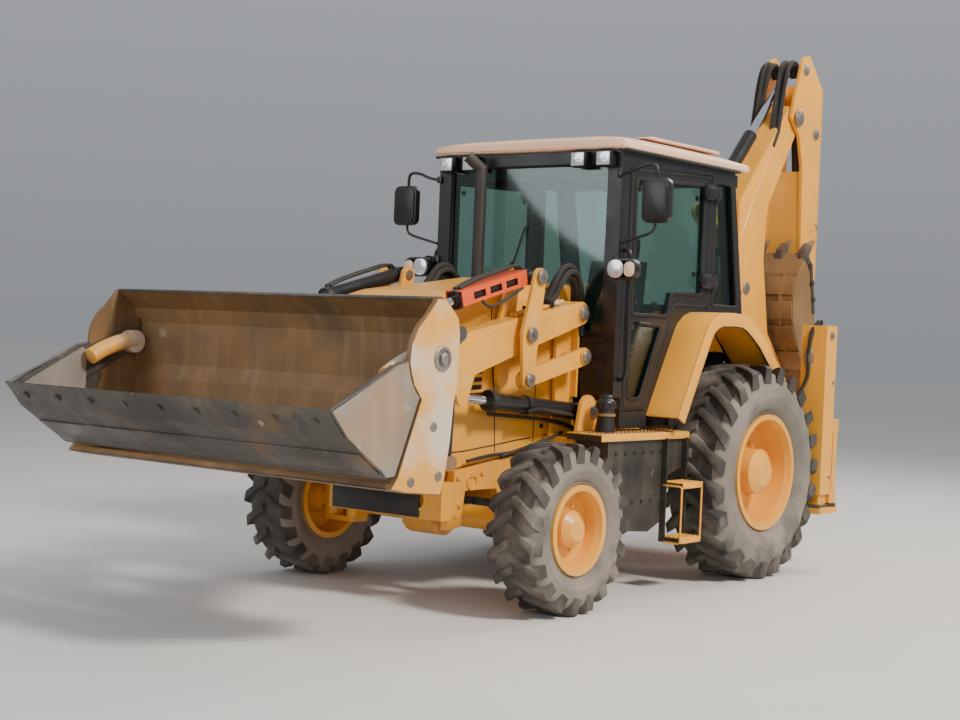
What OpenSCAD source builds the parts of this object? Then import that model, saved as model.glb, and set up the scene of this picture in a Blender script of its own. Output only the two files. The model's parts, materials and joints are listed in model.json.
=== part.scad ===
// Backhoe loader: wheeled tractor with a parallel-lift front loader and a side-shift backhoe.
// X runs forward, Y to the machine's left, Z up. Side profiles are drawn as [x, z] from the rear axle line.

/* [Wheels] */
// Distance between the axles
wheelbase = 2200; // [2100:10:2300]
// Distance between the front tyre centres
front_track = 1895; // [1860:5:1940]
// Distance between the rear tyre centres
rear_track = 1714; // [1690:5:1740]
// Radius of a front tyre over its lugs
front_tyre_r = 478; // [450:2:490]
// Width of a front tyre
front_tyre_w = 318; // [290:2:330]
// Radius of a front rim at its flange
front_rim_r = 254; // [230:2:270]
// Radius of a rear tyre over its lugs
rear_tyre_r = 706; // [680:2:712]
// Width of a rear tyre
rear_tyre_w = 424; // [400:2:430]
// Radius of a rear rim at its flange
rear_rim_r = 384; // [360:2:400]

/* [Frame] */
// Half width over the front frame's side plates
frame_half_w = 380; // [370:1:385]
// Thickness of the frame's side plates
frame_plate_t = 50; // [30:5:60]
// Distance from the centre to a kingpin
kingpin_y = 790; // [780:1:800]

/* [Loader] */
// Width of the loader bucket
bucket_w = 2410; // [2300:10:2500]
// Distance from the centre to the middle of a loader arm
arm_y = 490; // [485:1:495]
// Width of a loader arm
arm_w = 120; // [110:1:124]
// Height of the arm pivots above the ground
arm_pivot_z = 1694; // [1680:2:1710]
// Radius of the loader's pins
pin_r = 30; // [24:1:32]
// Bore of the lift and tilt barrels over their wall, as a radius
barrel_r = 50; // [44:1:52]
// Radius of the lift and tilt rods
rod_r = 28; // [22:1:30]

/* [Cab] */
// Half width of the cab at its door line
cab_half_w = 720; // [700:5:730]
// Thickness of the cab's pillars and walls
cab_wall = 50; // [30:5:60]
// Height of the cab frame's top
cab_top_z = 2700; // [2660:10:2740]
// Thickness of a pane of glass
glass_t = 8; // [5:1:12]

/* [Backhoe] */
// Sideways place of the backhoe on its slide frame
hoe_y = 320; // [0:10:400]
// Width of the boom
boom_w = 230; // [210:2:236]
// Width of the stick over its side plates
stick_w = 300; // [290:2:320]
// Width of the digging bucket
dig_w = 610; // [560:10:640]
// Radius of the backhoe's pins
hoe_pin_r = 28; // [22:1:32]

/* [Stabilisers] */
// Distance from the centre to the inner face of a sleeve
sleeve_in_y = 890; // [880:5:900]
// Width of a sleeve
sleeve_w = 190; // [170:5:200]
// Height of the top of the sleeves
sleeve_top_z = 1700; // [1650:10:1750]
// Height of the stabiliser pads above the ground when stowed
pad_z = 390; // [340:10:420]

/* [Hidden] */
$fn = 48;

// Gap at a turning pin, between parts that pass each other, and overlap that fuses pieces of one solid
pin_gap = 0.3;
pass_gap = 6;
fuse = 2;

// Loader pivots
arm_pivot = [1500, arm_pivot_z];
lever_mid = arm_pivot + [595, -144];
level_drop = [5, -262];
lever_rise = [-75, 339];
link_rear = arm_pivot + level_drop;
lever_low = lever_mid + level_drop;
lever_top = lever_mid + lever_rise;
front_mid = lever_mid + [915, -237];
front_top = front_mid + lever_rise;
bucket_hinge = front_mid + [465, -463];
bucket_top = bucket_hinge + lever_rise;
lift_base = [1445, 1095];
lift_eye = [2615, 1190];
jaw_pivot = [3593, 1418];
jaw_ram_base = [3400, 900];
jaw_ram_eye = jaw_pivot + 250 * [cos(150), sin(150)];
hood_hinge = [1550, 1842];

// Backhoe pivots
swing_x = -1170;
boom_foot = [-1395, 650];
boom_ram_base = [-1160, 1040];
boom_ram_eye = [-700, 1950];
stick_pivot = [-1295, 3245];
stick_ram_base = [-285, 2470];
stick_ram_eye = [-1401, 3620];
dig_hinge = [-1560, 1500];
idler_pivot = [-1530, 1830];
tip_joint = [-1800, 1572];
dig_pin = [-1610, 1220];
dig_ram_base = [-1600, 3160];

// Reach of the whole machine, for its middle
lip_tip = [4365, 1183];
tip_boss_r = 48;
mid_x = (lip_tip[0] + tip_joint[0] - tip_boss_r) / 2;

// A side profile as a plate between two distances from the centre
module plate(points, y0, y1) {
    translate([0, y1, 0]) rotate([90, 0, 0]) linear_extrude(y1 - y0) polygon(points);
}

// Two-dimensional children of the side view as a plate
module slab(y0, y1) {
    translate([0, y1, 0]) rotate([90, 0, 0]) linear_extrude(y1 - y0) children();
}

// A bar with round ends of radii r1 and r2
module bar(p, q, r1, r2) {
    t = atan2(q[1] - p[1], q[0] - p[0]);
    b = acos((r1 - r2) / norm(q - p));
    u = [cos(t + b), sin(t + b)];
    v = [cos(t - b), sin(t - b)];
    polygon([p + r1 * u, q + r2 * u, q + r2 * v, p + r1 * v]);
    translate(p) circle(r1);
    translate(q) circle(r2);
}

// A round pin or boss across the machine at a side-view point
module pin(p, r, y0, y1) {
    translate([p[0], y1, p[1]]) rotate([90, 0, 0]) cylinder(r = r, h = y1 - y0);
}

// Children with +Z along the line from p to q, at a distance y from the centre
module along(p, q, y) {
    translate([p[0], y, p[1]]) rotate([0, 90 - atan2(q[1] - p[1], q[0] - p[0]), 0]) children();
}

// Children on the left and mirrored on the right
module both() {
    children();
    mirror([0, 1, 0]) children();
}

module at_origin() translate([-mid_x, 0, 0]) children();

paint = [0.93, 0.66, 0.20];
black = [0.10, 0.10, 0.11];
steel = [0.62, 0.62, 0.62];
rubber = [0.20, 0.20, 0.20];
rust = [0.45, 0.32, 0.22];

// Frame and axles
frame_side = [
    [1700, 800], [1746, 848], [2449, 757], [2500, 420], [2380, 432], [2350, 640],
    [2060, 640], [2020, 540], [1700, 560]
];
rail_side = [
    [1900, 800], [500, 820], [350, 1000], [-400, 1000], [-500, 900], [-870, 900], [-870, 480],
    [-520, 480], [-400, 700], [-260, 870], [260, 870], [360, 600], [1900, 560]
];

module rails() {
    both() {
        plate(frame_side, frame_half_w - frame_plate_t, frame_half_w);
        plate(rail_side, frame_half_w - 2 * frame_plate_t, frame_half_w - frame_plate_t + fuse);
    }
    both() translate([1180, 285, 800]) cube([100, 45, 200]);
    for (x = [-870, 600, 1700, 1990, 2370])
        translate([x, -frame_half_w + frame_plate_t - fuse, x < 0 ? 500 : 570])
            cube([40, 2 * (frame_half_w - frame_plate_t + fuse), x < 0 ? 380 : 200]);
}

tower_in = 404;
tower_out = 592;
tower_t = 22;

module tower_plate(y0) slab(y0, y0 + tower_t) {
    bar(arm_pivot, link_rear, 75, 75);
    bar(link_rear, [1480, 1150], 75, 90);
    bar([1480, 1150], lift_base, 90, 75);
    polygon([[1340, 860], [1325, 1095], [1570, 1150], [1620, 860]]);
}

// Foot of the tower outside the arm, for the lift ram's pin
module tower_foot(y0) slab(y0, y0 + tower_t) {
    bar([1480, 1120], lift_base, 80, 75);
    polygon([[1340, 860], [1325, 1095], [1560, 1130], [1620, 860]]);
}

// Everything that is welded or bolted to the rails: towers, counterweight and the cowl before the cab
module towers() both() {
    tower_plate(tower_in);
    tower_foot(tower_out);
    translate([1340, frame_half_w - 50, 850]) cube([280, tower_out + tower_t - frame_half_w + 50, 90]);
    translate([1400, tower_in + 5, 1180]) cube([20, 60, 520]);
    // Each pin: where it sits and how far out the piece on it reaches
    for (seat = [[arm_pivot, arm_out], [link_rear, link_in + link_t], [lift_base, tower_out + tower_t]]) {
        pin(seat[0], pin_r, tower_in, seat[1] + pass_gap);
        pin(seat[0], pin_r + 16, seat[1] + (seat[0] == lift_base ? -1 : pass_gap - 1), seat[1] + 16);
    }
}

module counterweight() {
    difference() {
        translate([2505, -430, 484]) cube([115, 860, 216]);
        for (y = [-260, 260]) translate([2600, y, 592]) rotate([0, 90, 0]) cylinder(r = 45, h = 40);
    }
    translate([2400, -frame_half_w + 10, 500]) cube([110, 2 * frame_half_w - 20, 180]);
}

// Fixed cowl before the cab, with the hood's hinge on its front
cowl = [[1389, 780], [1389, 1862], [1510, 1869], [1510, 780]];
hood_pin_r = 8;
module front_cowl() {
    difference() {
        plate(cowl, -frame_half_w, frame_half_w);
        plate([[1409, 700], [1409, 1838], [1560, 1846], [1560, 700]], -frame_half_w + 20, frame_half_w - 20);
        translate([exhaust_x, exhaust_y, 1700]) cylinder(r = exhaust_r + 4, h = 300);
    }
    both() {
        for (y = [130, 230]) slab(y, y + 12) {
            translate([1500, hood_hinge[1] - 27]) square([50, 23]);
            translate([1500, hood_hinge[1] - 5]) square([9, 18]);
            translate(hood_hinge) circle(12);
        }
        pin(hood_hinge, hood_pin_r, 130, 242);
    }
}

module main_frame() color(paint) at_origin() {
    rails();
    towers();
    counterweight();
    front_cowl();
}

exhaust_x = 1462;
exhaust_y = -310;
exhaust_r = 38;
module engine() color(rust) at_origin() {
    translate([1560, -250, 770]) cube([820, 500, 700]);
    translate([exhaust_x, exhaust_y, 1400]) cylinder(r = exhaust_r, h = 1200);
    translate([exhaust_x, exhaust_y, 2600]) sphere(r = exhaust_r);
    translate([exhaust_x, exhaust_y, 2600]) rotate([0, 50, -45]) cylinder(r = exhaust_r, h = 120);
    translate([exhaust_x, exhaust_y, 1400]) sphere(r = exhaust_r);
    translate([exhaust_x, exhaust_y, 1400]) rotate([0, 90, 35]) cylinder(r = exhaust_r, h = 180);
}

kingpin_r = 25;
module front_axle() translate([wheelbase, 0, front_tyre_r]) {
    rotate([90, 0, 0]) cylinder(r = 68, h = 1240, center = true);
    rotate([90, 0, 0]) cylinder(r = 135, h = 230, center = true);
    translate([-170, 0, 112]) rotate([0, 90, 0]) cylinder(r = 45, h = 340);
    translate([-60, -70, 40]) cube([120, 140, 80]);
    both() for (z = [-126, 94]) {
        difference() {
            translate([-62, 560, z]) cube([124, kingpin_y - 560, 32]);
            translate([0, kingpin_y, z - 1]) cylinder(r = kingpin_r + pin_gap, h = 40);
        }
        difference() {
            translate([0, kingpin_y, z]) cylinder(r = 62, h = 32);
            translate([0, kingpin_y, z - 1]) cylinder(r = kingpin_r + pin_gap, h = 40);
        }
    }
    both() translate([-62, 560, -126]) cube([124, 60, 252]);
}

module rear_axle() translate([0, 0, rear_tyre_r]) {
    rotate([90, 0, 0]) cylinder(r = 190, h = 300, center = true);
    both() {
        translate([0, 150, 0]) rotate([-90, 0, 0]) cylinder(r1 = 170, r2 = 105, h = 390);
        translate([0, 530, 0]) rotate([-90, 0, 0]) cylinder(r = 140, h = 60);
        translate([0, 580, 0]) rotate([-90, 0, 0]) cylinder(r = spindle_r, h = 170);
        translate([-100, frame_half_w - 2 * frame_plate_t, 0])
            cube([200, frame_plate_t, 870 - rear_tyre_r]);
    }
}

spindle_r = 42;
module axles() color(paint) at_origin() {
    front_axle();
    rear_axle();
}

// Knuckle of one side, s = 1 on the left
module knuckle(s) color(paint) at_origin() translate([wheelbase, s * kingpin_y, front_tyre_r]) {
    cylinder(r = 60, h = 2 * (94 - pin_gap), center = true);
    cylinder(r = kingpin_r, h = 2 * 126, center = true);
    rotate([-90 * s, 0, 0]) cylinder(r = 58, h = 78);
    rotate([-90 * s, 0, 0]) cylinder(r = spindle_r, h = 190);
    translate([-180, -18 - s * 20, -20]) cube([150, 36, 40]);
}

// Tyre and rim, turned about the wheel's own axis. The profiles are [radius, width] from the wheel's middle.
module tyre(r, w, rim_r) {
    bead = w * 0.40;
    rotate([-90, 0, 0]) rotate_extrude($fn = 96) polygon([
        [rim_r - 22, -bead], [rim_r + 2, -bead], [rim_r + 30, -bead - 6], [(r + rim_r) / 2, -w / 2], [r - 60, -w / 2],
        [r - 12, -w / 2 + 22], [r, -w / 4], [r, w / 4], [r - 12, w / 2 - 22], [r - 60, w / 2],
        [(r + rim_r) / 2, w / 2], [rim_r + 30, bead + 6], [rim_r + 2, bead], [rim_r - 22, bead]
    ]);
}

// Rim with a deep dish: the disc lies at d, the hub reaches from hub_in to hub_out, and the spindle hole is bore
module rim(w, rim_r, d, hub_in, hub_out, hub_r, bore, bore_end) {
    bead = w * 0.40;
    rotate([-90, 0, 0]) rotate_extrude($fn = 96) polygon([
        [rim_r, bead + 16], [rim_r, bead], [rim_r - 22.3, bead], [rim_r - 22.3, -bead], [rim_r, -bead],
        [rim_r, -bead - 16], [rim_r - 34, -bead - 16], [rim_r - 46, -bead + 40], [rim_r - 46, d - 14],
        [hub_r + 60, d - 14], [hub_r, d - 30], [hub_r * 0.8, hub_in], [bore, hub_in], [bore, bore_end],
        [0, bore_end], [0, hub_out], [hub_r * 0.62, hub_out], [hub_r, hub_out - 40], [hub_r, d + 20],
        [hub_r + 60, d + 14], [rim_r - 46, d + 14], [rim_r - 46, bead - 30], [rim_r - 34, bead + 16]
    ]);
}

module front_wheel_place(s) at_origin() translate([wheelbase, s * front_track / 2, front_tyre_r])
    mirror([0, s < 0 ? 1 : 0, 0]) children();
module rear_wheel_place(s) at_origin() translate([0, s * rear_track / 2, rear_tyre_r])
    mirror([0, s < 0 ? 1 : 0, 0]) children();

module front_tyre(s) color(rubber) front_wheel_place(s) tyre(front_tyre_r, front_tyre_w, front_rim_r);
module rear_tyre(s) color(rubber) rear_wheel_place(s) tyre(rear_tyre_r, rear_tyre_w, rear_rim_r);
module front_rim(s) color(paint) front_wheel_place(s)
    rim(front_tyre_w, front_rim_r, 20, kingpin_y + 78 + pin_gap - front_track / 2, 128, 105, spindle_r + pin_gap,
        kingpin_y + 196 - front_track / 2);
module rear_rim(s) color(paint) rear_wheel_place(s)
    rim(rear_tyre_w, rear_rim_r, -30, 590 + pin_gap - rear_track / 2, 175, 150, spindle_r + pin_gap,
        756 - rear_track / 2);

// Body shell
fender_in = 598;
fender_out = 962;
fender_side = [
    [700, 1040], [1000, 1079], [690, 1647], [520, 1742], [250, 1744], [-42, 1605], [-434, 1262],
    [-520, 1130], [-500, 1110]
];

fender_t = 25;
module rear_fenders() color(paint) at_origin() both() difference() {
    plate(fender_side, fender_in, fender_out);
    pin([0, rear_tyre_r], rear_tyre_r + 70, fender_in + 18, fender_out + 1);
    plate([
        [700, 1000], [980, 1065], [672, 1628], [513, 1717], [256, 1719], [-28, 1584], [-417, 1243], [-497, 1120],
        [-500, 1000]
    ], fender_in + 18, fender_out + 1);
    plate([[-600, 700], [-600, 1090], [740, 1020], [740, 700]], fender_in - 1, fender_out + 1);
}

cab_side = [
    [-150, 1000], [-150, 1764], [27, cab_top_z], [1385, cab_top_z], [1385, 1190], [1300, 1190], [1300, 1000]
];
cab_inner = [
    [-100, 1060], [-100, 1764], [72, cab_top_z - 50], [1335, cab_top_z - 50], [1335, 1240], [1250, 1240], [1250, 1060]
];
door_side = [
    [1285, 1110], [1285, 2600], [320, 2640], [320, 1775], [720, 1775], [775, 1660], [1045, 1110]
];
rear_quarter = [[262, 1790], [262, 2610], [62, 2610], [-80, 1790]];

module inset_door(d) polygon([
    [1285 - d, 1110 + d], [1285 - d, 2600 - d], [320 + d, 2640 - d], [320 + d, 1775 + d],
    [720 + d * 0.8, 1775 + d], [775 + d * 1.2, 1660 + d * 0.3], [1045 + d * 1.2, 1110 + d]
]);

module cab_frame() color(black) at_origin() {
    cab_shell();
    door_brackets();
}

module cab_shell() difference() {
    plate(cab_side, -cab_half_w, cab_half_w);
    plate(cab_inner, -cab_half_w + cab_wall, cab_half_w - cab_wall);
    both() slab(cab_half_w - cab_wall - 1, cab_half_w + 1) inset_door(-pass_gap);
    both() plate(rear_quarter, cab_half_w - cab_wall - 1, cab_half_w + 1);
    // Windscreen, lower front panes and rear window
    translate([1300, -620, 1560]) cube([120, 1240, 1060]);
    translate([-160, -600, 1800]) cube([260, 1200, 800]);
    // Room for the fenders
    both() plate([[1000, 900], [1000, 1079], [690, 1647], [520, 1742], [250, 1744], [-42, 1605], [-434, 1262], [-434, 900]],
        fender_in, cab_half_w + 1);
}

module cab_roof() color(paint) at_origin() difference() {
    union() {
        plate([[-110, cab_top_z], [-110, 2790], [-60, 2825], [1180, 2825], [1400, 2775], [1425, 2735], [1425, cab_top_z]],
            -cab_half_w - 35, cab_half_w + 35);
    }
    plate([[-60, cab_top_z - 1], [-60, 2760], [1330, 2760], [1380, cab_top_z - 1]],
        -cab_half_w + cab_wall, cab_half_w - cab_wall);
}

module cab_glass() color([0.5, 0.6, 0.6, 0.4]) at_origin() {
    translate([1352, -620, 1560]) cube([glass_t, 1240, 1060]);
    both() plate(rear_quarter, cab_half_w - 30, cab_half_w - 30 + glass_t);
    difference() {
        plate([[-120, 1800], [23, 2600], [23 + glass_t, 2600], [-120 + glass_t, 1800]], -600, 600);
    }
}

module cab_floor() color(black) at_origin() {
    translate([-100, -590, 1060]) cube([1340, 1180, 30]);
    translate([-60, -560, 1089]) cube([300, 1120, 330]);
    translate([1120, -220, 1089]) cube([120, 440, 420]);
    plate([[1180, 1400], [940, 1700], [900, 1680], [1125, 1340]], -60, 60);
    translate([915, 0, 1700]) rotate([0, -60, 0]) {
        rotate_extrude() translate([190, 0]) circle(14);
        for (a = [0, 120, 240]) rotate([0, 0, a]) translate([0, -12, -8]) cube([185, 24, 14]);
        translate([0, 0, -30]) cylinder(r = 40, h = 40);
    }
}

module seat() color(black) at_origin() {
    translate([420, -200, 1090]) cube([320, 400, 333]);
    translate([380, -240, 1421]) cube([410, 480, 110]);
    plate([[440, 1500], [330, 2080], [250, 2080], [320, 1440]], -230, 230);
}

module side_tanks() color(black) at_origin() both() {
    steps();
    plate([
        [720, 940], [1600, 940], [1600, 560], [1520, 400], [1130, 370], [1000, 420], [1000, 690], [740, 760]
    ], 630, 850);
    translate([720, 618, 939]) cube([980, 250, 38]);
    for (x = [790, 1120]) translate([x, frame_half_w - frame_plate_t + fuse, 740]) cube([120, 300, 50]);
}

module steps() {
    for (z = [300, 640]) {
        translate([760, 858, z]) cube([230, 150, 30]);
    }
    for (x = [752, 984]) translate([x, 848, 300]) cube([14, 40, 645]);
}

module mirrors() both() {
    translate([1385, cab_half_w - 10, 2560]) cube([26, 40, 30]);
    translate([1398, cab_half_w + 20, 2575]) rotate([-90, 0, 0]) cylinder(r = 10, h = 250);
    translate([1398, cab_half_w + 262, 2360]) cylinder(r = 10, h = 225);
    translate([1379, cab_half_w + 175, 2250]) cube([38, 165, 240]);
}

module work_lamps() {
    both() for (y = [430, 620]) {
        translate([1385, y - 56, 2590]) cube([62, 112, 100]);
        translate([-100, y - 60, 2600]) cube([80, 120, cab_top_z - 2600]);
    }
    both() {
        translate([1385, cab_half_w - 30, 1930]) cube([30, 60, 40]);
        translate([1400, cab_half_w + 20, 1900]) cube([110, 130, 120]);
    }
}

module grab_rails() both() {
    translate([1330, cab_half_w + 40, 1300]) cylinder(r = 14, h = 800);
    for (z = [1314, 2086]) translate([1330, cab_half_w, z]) rotate([-90, 0, 0]) cylinder(r = 12, h = 40);
}

module cab_fittings() color(black) at_origin() {
    mirrors();
    work_lamps();
    grab_rails();
}

hood_side = [
    [1540, 948], [1540, 1871], [1640, 1895], [2480, 1780], [2660, 1735], [2700, 1660], [2700, 720], [2640, 705],
    [2630, 768], [2449, 768], [1746, 855], [1628, 855], [1628, 948]
];
hood_r = 90;
hood_wall = 25;
// The hood's form, drawn in by d on its sides, and narrower towards the front to clear the loader's links
module hood_form(profile, d) intersection() {
    w = frame_half_w - d;
    plate(profile, -w, w);
    linear_extrude(2000) polygon([
        [1400, -w], [1900, -w], [2350, 22 - w], [2700, 35 - w], [2700, w - 35], [2350, w - 22], [1900, w], [1400, w]
    ]);
    union() {
        translate([1400, -w, 600]) cube([1400, 2 * w, 1740 - 600]);
        translate([1400, hood_r - w, 600]) cube([1400, 2 * (w - hood_r), 1400]);
        both() translate([1400, w - hood_r, 1740 - d * 0.8]) rotate([0, 90, 0]) cylinder(r = hood_r, h = 1400);
    }
}
module hood() color(paint) at_origin() {
    difference() {
        hood_form(hood_side, 0);
        hood_form([
            [1400, 610], [1400, 1846], [1640, 1865], [2480, 1750], [2640, 1700], [2670, 1640], [2670, 610]
        ], hood_wall);
    }
    both() difference() {
        union() {
            pin(hood_hinge, hood_pin_r + 8, 143, 229);
            translate([1544, 143, hood_hinge[1] + 4]) cube([14, 86, 20]);
        }
        pin(hood_hinge, hood_pin_r + pin_gap, 100, 300);
    }
}

// Doors, hinged behind on two pins each
door_pin = [290, 752];
door_pin_r = 10;
module door(s) color(black) at_origin() mirror([0, s < 0 ? 1 : 0, 0]) {
    difference() {
        slab(cab_half_w - 40, cab_half_w) inset_door(0);
        slab(cab_half_w - 41, cab_half_w + 1) polygon([
            [1215, 1700], [1215, 2540], [400, 2570], [400, 1855], [760, 1855], [800, 1700]
        ]);
        slab(cab_half_w - 41, cab_half_w + 1) polygon([[1225, 1180], [1225, 1640], [870, 1640], [1085, 1180]]);
    }
    for (z = [1920, 2500]) difference() {
        union() {
            translate([door_pin[0], cab_half_w + pass_gap, z]) cube([110, door_pin[1] - cab_half_w - pass_gap, 60]);
            translate([330, cab_half_w - 1, z]) cube([70, pass_gap + 2, 60]);
            translate([door_pin[0], door_pin[1], z]) cylinder(r = door_pin_r + 8, h = 60);
        }
        translate([door_pin[0], door_pin[1], z - 1]) cylinder(r = door_pin_r + pin_gap, h = 62);
    }
}
// What the doors hang on
module door_brackets() both() for (z = [1920, 2500]) {
    for (h = [-20.3, 60.3]) {
        translate([264, cab_half_w - fuse, z + h]) cube([46, door_pin[1] - cab_half_w + fuse + 10, 20]);
    }
    translate([door_pin[0], door_pin[1], z - 20]) cylinder(r = door_pin_r, h = 100);
}
module door_glass(s) color([0.5, 0.6, 0.6, 0.4]) at_origin() mirror([0, s < 0 ? 1 : 0, 0]) {
    slab(cab_half_w - 24, cab_half_w - 24 + glass_t) polygon([
        [1215, 1700], [1215, 2540], [400, 2570], [400, 1855], [760, 1855], [800, 1700]
    ]);
    slab(cab_half_w - 24, cab_half_w - 24 + glass_t) polygon([[1225, 1180], [1225, 1640], [870, 1640], [1085, 1180]]);
}

// Loader arms: straight from the towers to the front levers, then bent down to the bucket
arm_in = arm_y - arm_w / 2;
arm_out = arm_y + arm_w / 2;
lever_t = 22;
lever_in = arm_in - pass_gap - lever_t;
link_t = 30;
link_in = arm_out + pass_gap;
lever_out = link_in + link_t + pass_gap;

module arm_profile() {
    difference() {
        union() {
            bar(arm_pivot, lever_mid, 70, 100);
            bar(lever_mid, front_mid - [120, -31], 100, 140);
            bar(front_mid - [120, -31], bucket_hinge + [-60, 60], 140, 70);
            bar(bucket_hinge + [-60, 60], bucket_hinge, 70, 54);
            polygon([lift_eye + [-110, 150], lift_eye + [-52, 0], lift_eye + [52, 0], lift_eye + [150, 130]]);
            translate(lift_eye) circle(52);
        }
        for (p = [arm_pivot, lever_mid, front_mid, bucket_hinge]) translate(p) circle(pin_r + pin_gap);
    }
}

module loader_arms() color(paint) at_origin() {
    both() difference() {
        slab(arm_in, arm_out) arm_profile();
        // Pocket for the lift rod's eye
        translate([lift_eye[0] - 150, arm_in + 18, lift_eye[1] - 70]) cube([310, arm_w - 36, 205]);
        // Groove on top that the tilt ram's rod dips into as the bucket is tipped with the arms down
        slab(tilt_y - tilt_rod_r - pass_gap, tilt_y + tilt_rod_r + pass_gap)
            polygon([[2690, 1531], [3090, 1385], [3090, 1600], [2690, 1600]]);
    }
    both() for (y = [arm_in + 1, arm_out - 17]) pin(lift_eye, pin_r + 14, y, y + 16);
    translate([3180, -arm_in - 1, 1090]) rotate([-90, 0, 0]) cylinder(r = 70, h = 2 * arm_in + 2);
}

module lever_profile() difference() {
    union() {
        bar(lever_top, lever_mid, 52, 78);
        bar(lever_mid, lever_low, 78, 52);
    }
    for (p = [lever_top]) translate(p) circle(pin_r + pin_gap);
}

module rear_levers() color(paint) at_origin() both() {
    slab(lever_in, lever_in + lever_t) lever_profile();
    slab(lever_out, lever_out + lever_t) lever_profile();
    pin(lever_mid, pin_r, lever_in, lever_out + lever_t + 12);
    pin(lever_low, pin_r - 4, link_in, lever_out + lever_t + 12);
}

module level_links() color(paint) at_origin() both() slab(link_in, link_in + link_t) difference() {
    bar(link_rear, lever_low, 54, 50);
    translate(link_rear) circle(pin_r + pin_gap);
    translate(lever_low) circle(pin_r - 4 + pin_gap);
}

// Hydraulic rams: the barrel starts at its base eye, the rod ends at its own eye
module ram_barrel(p, q, y, len, r, eye_r, eye_w, bore_r, rod) {
    difference() {
        union() {
            along(p, q, y) translate([0, 0, eye_r * 0.5]) cylinder(r = r, h = len - eye_r * 0.5);
            pin(p, eye_r, y - eye_w / 2, y + eye_w / 2);
        }
        pin(p, bore_r, y - eye_w, y + eye_w);
        along(p, q, y) translate([0, 0, eye_r + 40]) cylinder(r = rod + pin_gap, h = len);
    }
}
module ram_rod(p, q, y, from, r, eye_r, eye_w) {
    along(p, q, y) translate([0, 0, from]) cylinder(r = r, h = norm(q - p) - from);
    pin(q, eye_r, y - eye_w / 2, y + eye_w / 2);
}

lift_len = 880;
tilt_len = 660;
tilt_y = arm_y + 8;
tilt_rod_r = 25;

module lift_barrels() color(black) at_origin() both()
    ram_barrel(lift_base, lift_eye, arm_y, lift_len, barrel_r, 54, 96, pin_r + pin_gap, rod_r);
module lift_rods() color(steel) at_origin() both()
    ram_rod(lift_base, lift_eye, arm_y, 240, rod_r, 42, 70);

module tilt_pins() color(steel) at_origin() both() pin(lever_top, pin_r, lever_in - 10, lever_out + lever_t + 10);
module tilt_barrels() color(black) at_origin() both()
    ram_barrel(lever_top, front_top, tilt_y, tilt_len, 46, 50, 80, pin_r + pin_gap, tilt_rod_r);
// Slotted channel that lies over the left tilt barrel and locks the loader up when it is moved to the lift rod
module lift_lock() color([0.85, 0.25, 0.10]) at_origin() along(lever_top, front_top, tilt_y) difference() {
    translate([-53, -60, 60]) cube([88, 120, 600]);
    translate([-46.4, -54, 59]) cube([100, 108, 602]);
    for (z = [150, 300, 450]) translate([-25, 50, z]) cube([40, 20, 110]);
}
module tilt_rods() color(steel) at_origin() both()
    ram_rod(lever_top, front_top, tilt_y, 160, tilt_rod_r, 44, 70);

// Front levers and links to the bucket
module lever_pins() color(steel) at_origin() both() pin(front_mid, pin_r, lever_in - 10, lever_out + lever_t + 10);
module front_levers() color(paint) at_origin() both() for (y = [lever_in, lever_out])
    slab(y, y + lever_t) difference() {
        bar(front_mid, front_top, 70, 56);
        translate(front_mid) circle(pin_r + pin_gap);
        translate(front_top) circle(pin_r + pin_gap);
    }
link_out = lever_out + lever_t + pass_gap;
link_inner = lever_in - pass_gap - lever_t;
module link_pins() color(steel) at_origin() both() {
    pin(front_top, pin_r, link_inner - 8, lever_in + lever_t);
    pin(front_top, pin_r, lever_out, link_out + lever_t + 8);
}
module bucket_links() color(paint) at_origin() both() for (y = [link_inner, link_out])
    slab(y, y + lever_t) difference() {
        bar(front_top, bucket_top, 50, 50);
        translate(front_top) circle(pin_r + pin_gap);
        translate(bucket_top) circle(pin_r + pin_gap);
    }
module bucket_pins() color(steel) at_origin() both() pin(bucket_hinge, pin_r, ear_in - 8, ear_out + ear_t + 8);

// Loader bucket: a blade with side cheeks, and a jaw that opens in front of it
ear_t = 24;
ear_in = link_inner - pass_gap - ear_t;
ear_out = link_out + lever_t + pass_gap;
blade_back = [
    [3594, 1705], [3480, 1618], [3464, 1540], [3464, 1286], [3491, 1206], [3509, 1012], [3541, 828], [3568, 757],
    [3825, 778], [3931, 800], [3906, 828], [3640, 796], [3600, 850], [3560, 1020], [3540, 1215], [3512, 1300], [3512, 1530], [3540, 1610], [3640, 1705]
];
function about_jaw(r, a) = jaw_pivot + r * [cos(a), sin(a)];
jaw_path_r = 240;
blade_cheek = [
    [3580, 1709], [3480, 1618], [3464, 1540], [3464, 1286], [3491, 1206], [3509, 1012], [3541, 828], [3568, 757],
    [3825, 778], [3932, 799], [3888, 851], about_jaw(248, -54.5), each [for (a = [-51:6:57])
        about_jaw(jaw_path_r - pass_gap, a)], [3640, 1709]
];
jaw_side = [
    [4345, 1167], [4238, 1049], [4136, 978], [3993, 884], [3962, 857], [3902, 861], about_jaw(250, -52.3),
    each [for (a = [-51:5:-6]) about_jaw(jaw_path_r, a)], about_jaw(jaw_path_r, -3.5), [3900, 1390]
];
jaw_floor = [lip_tip, [4243, 1047], [4138, 974], [3995, 880], [3960, 850], [3930, 905], [4100, 1000], [4300, 1150]];
half_bucket = bucket_w / 2;
cheek_t = 25;
jaw_pin_r = 34;
jaw_arm_in = half_bucket - 75;
jaw_arm_t = 20;
jaw_ram_y = jaw_arm_in - 34;

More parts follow.
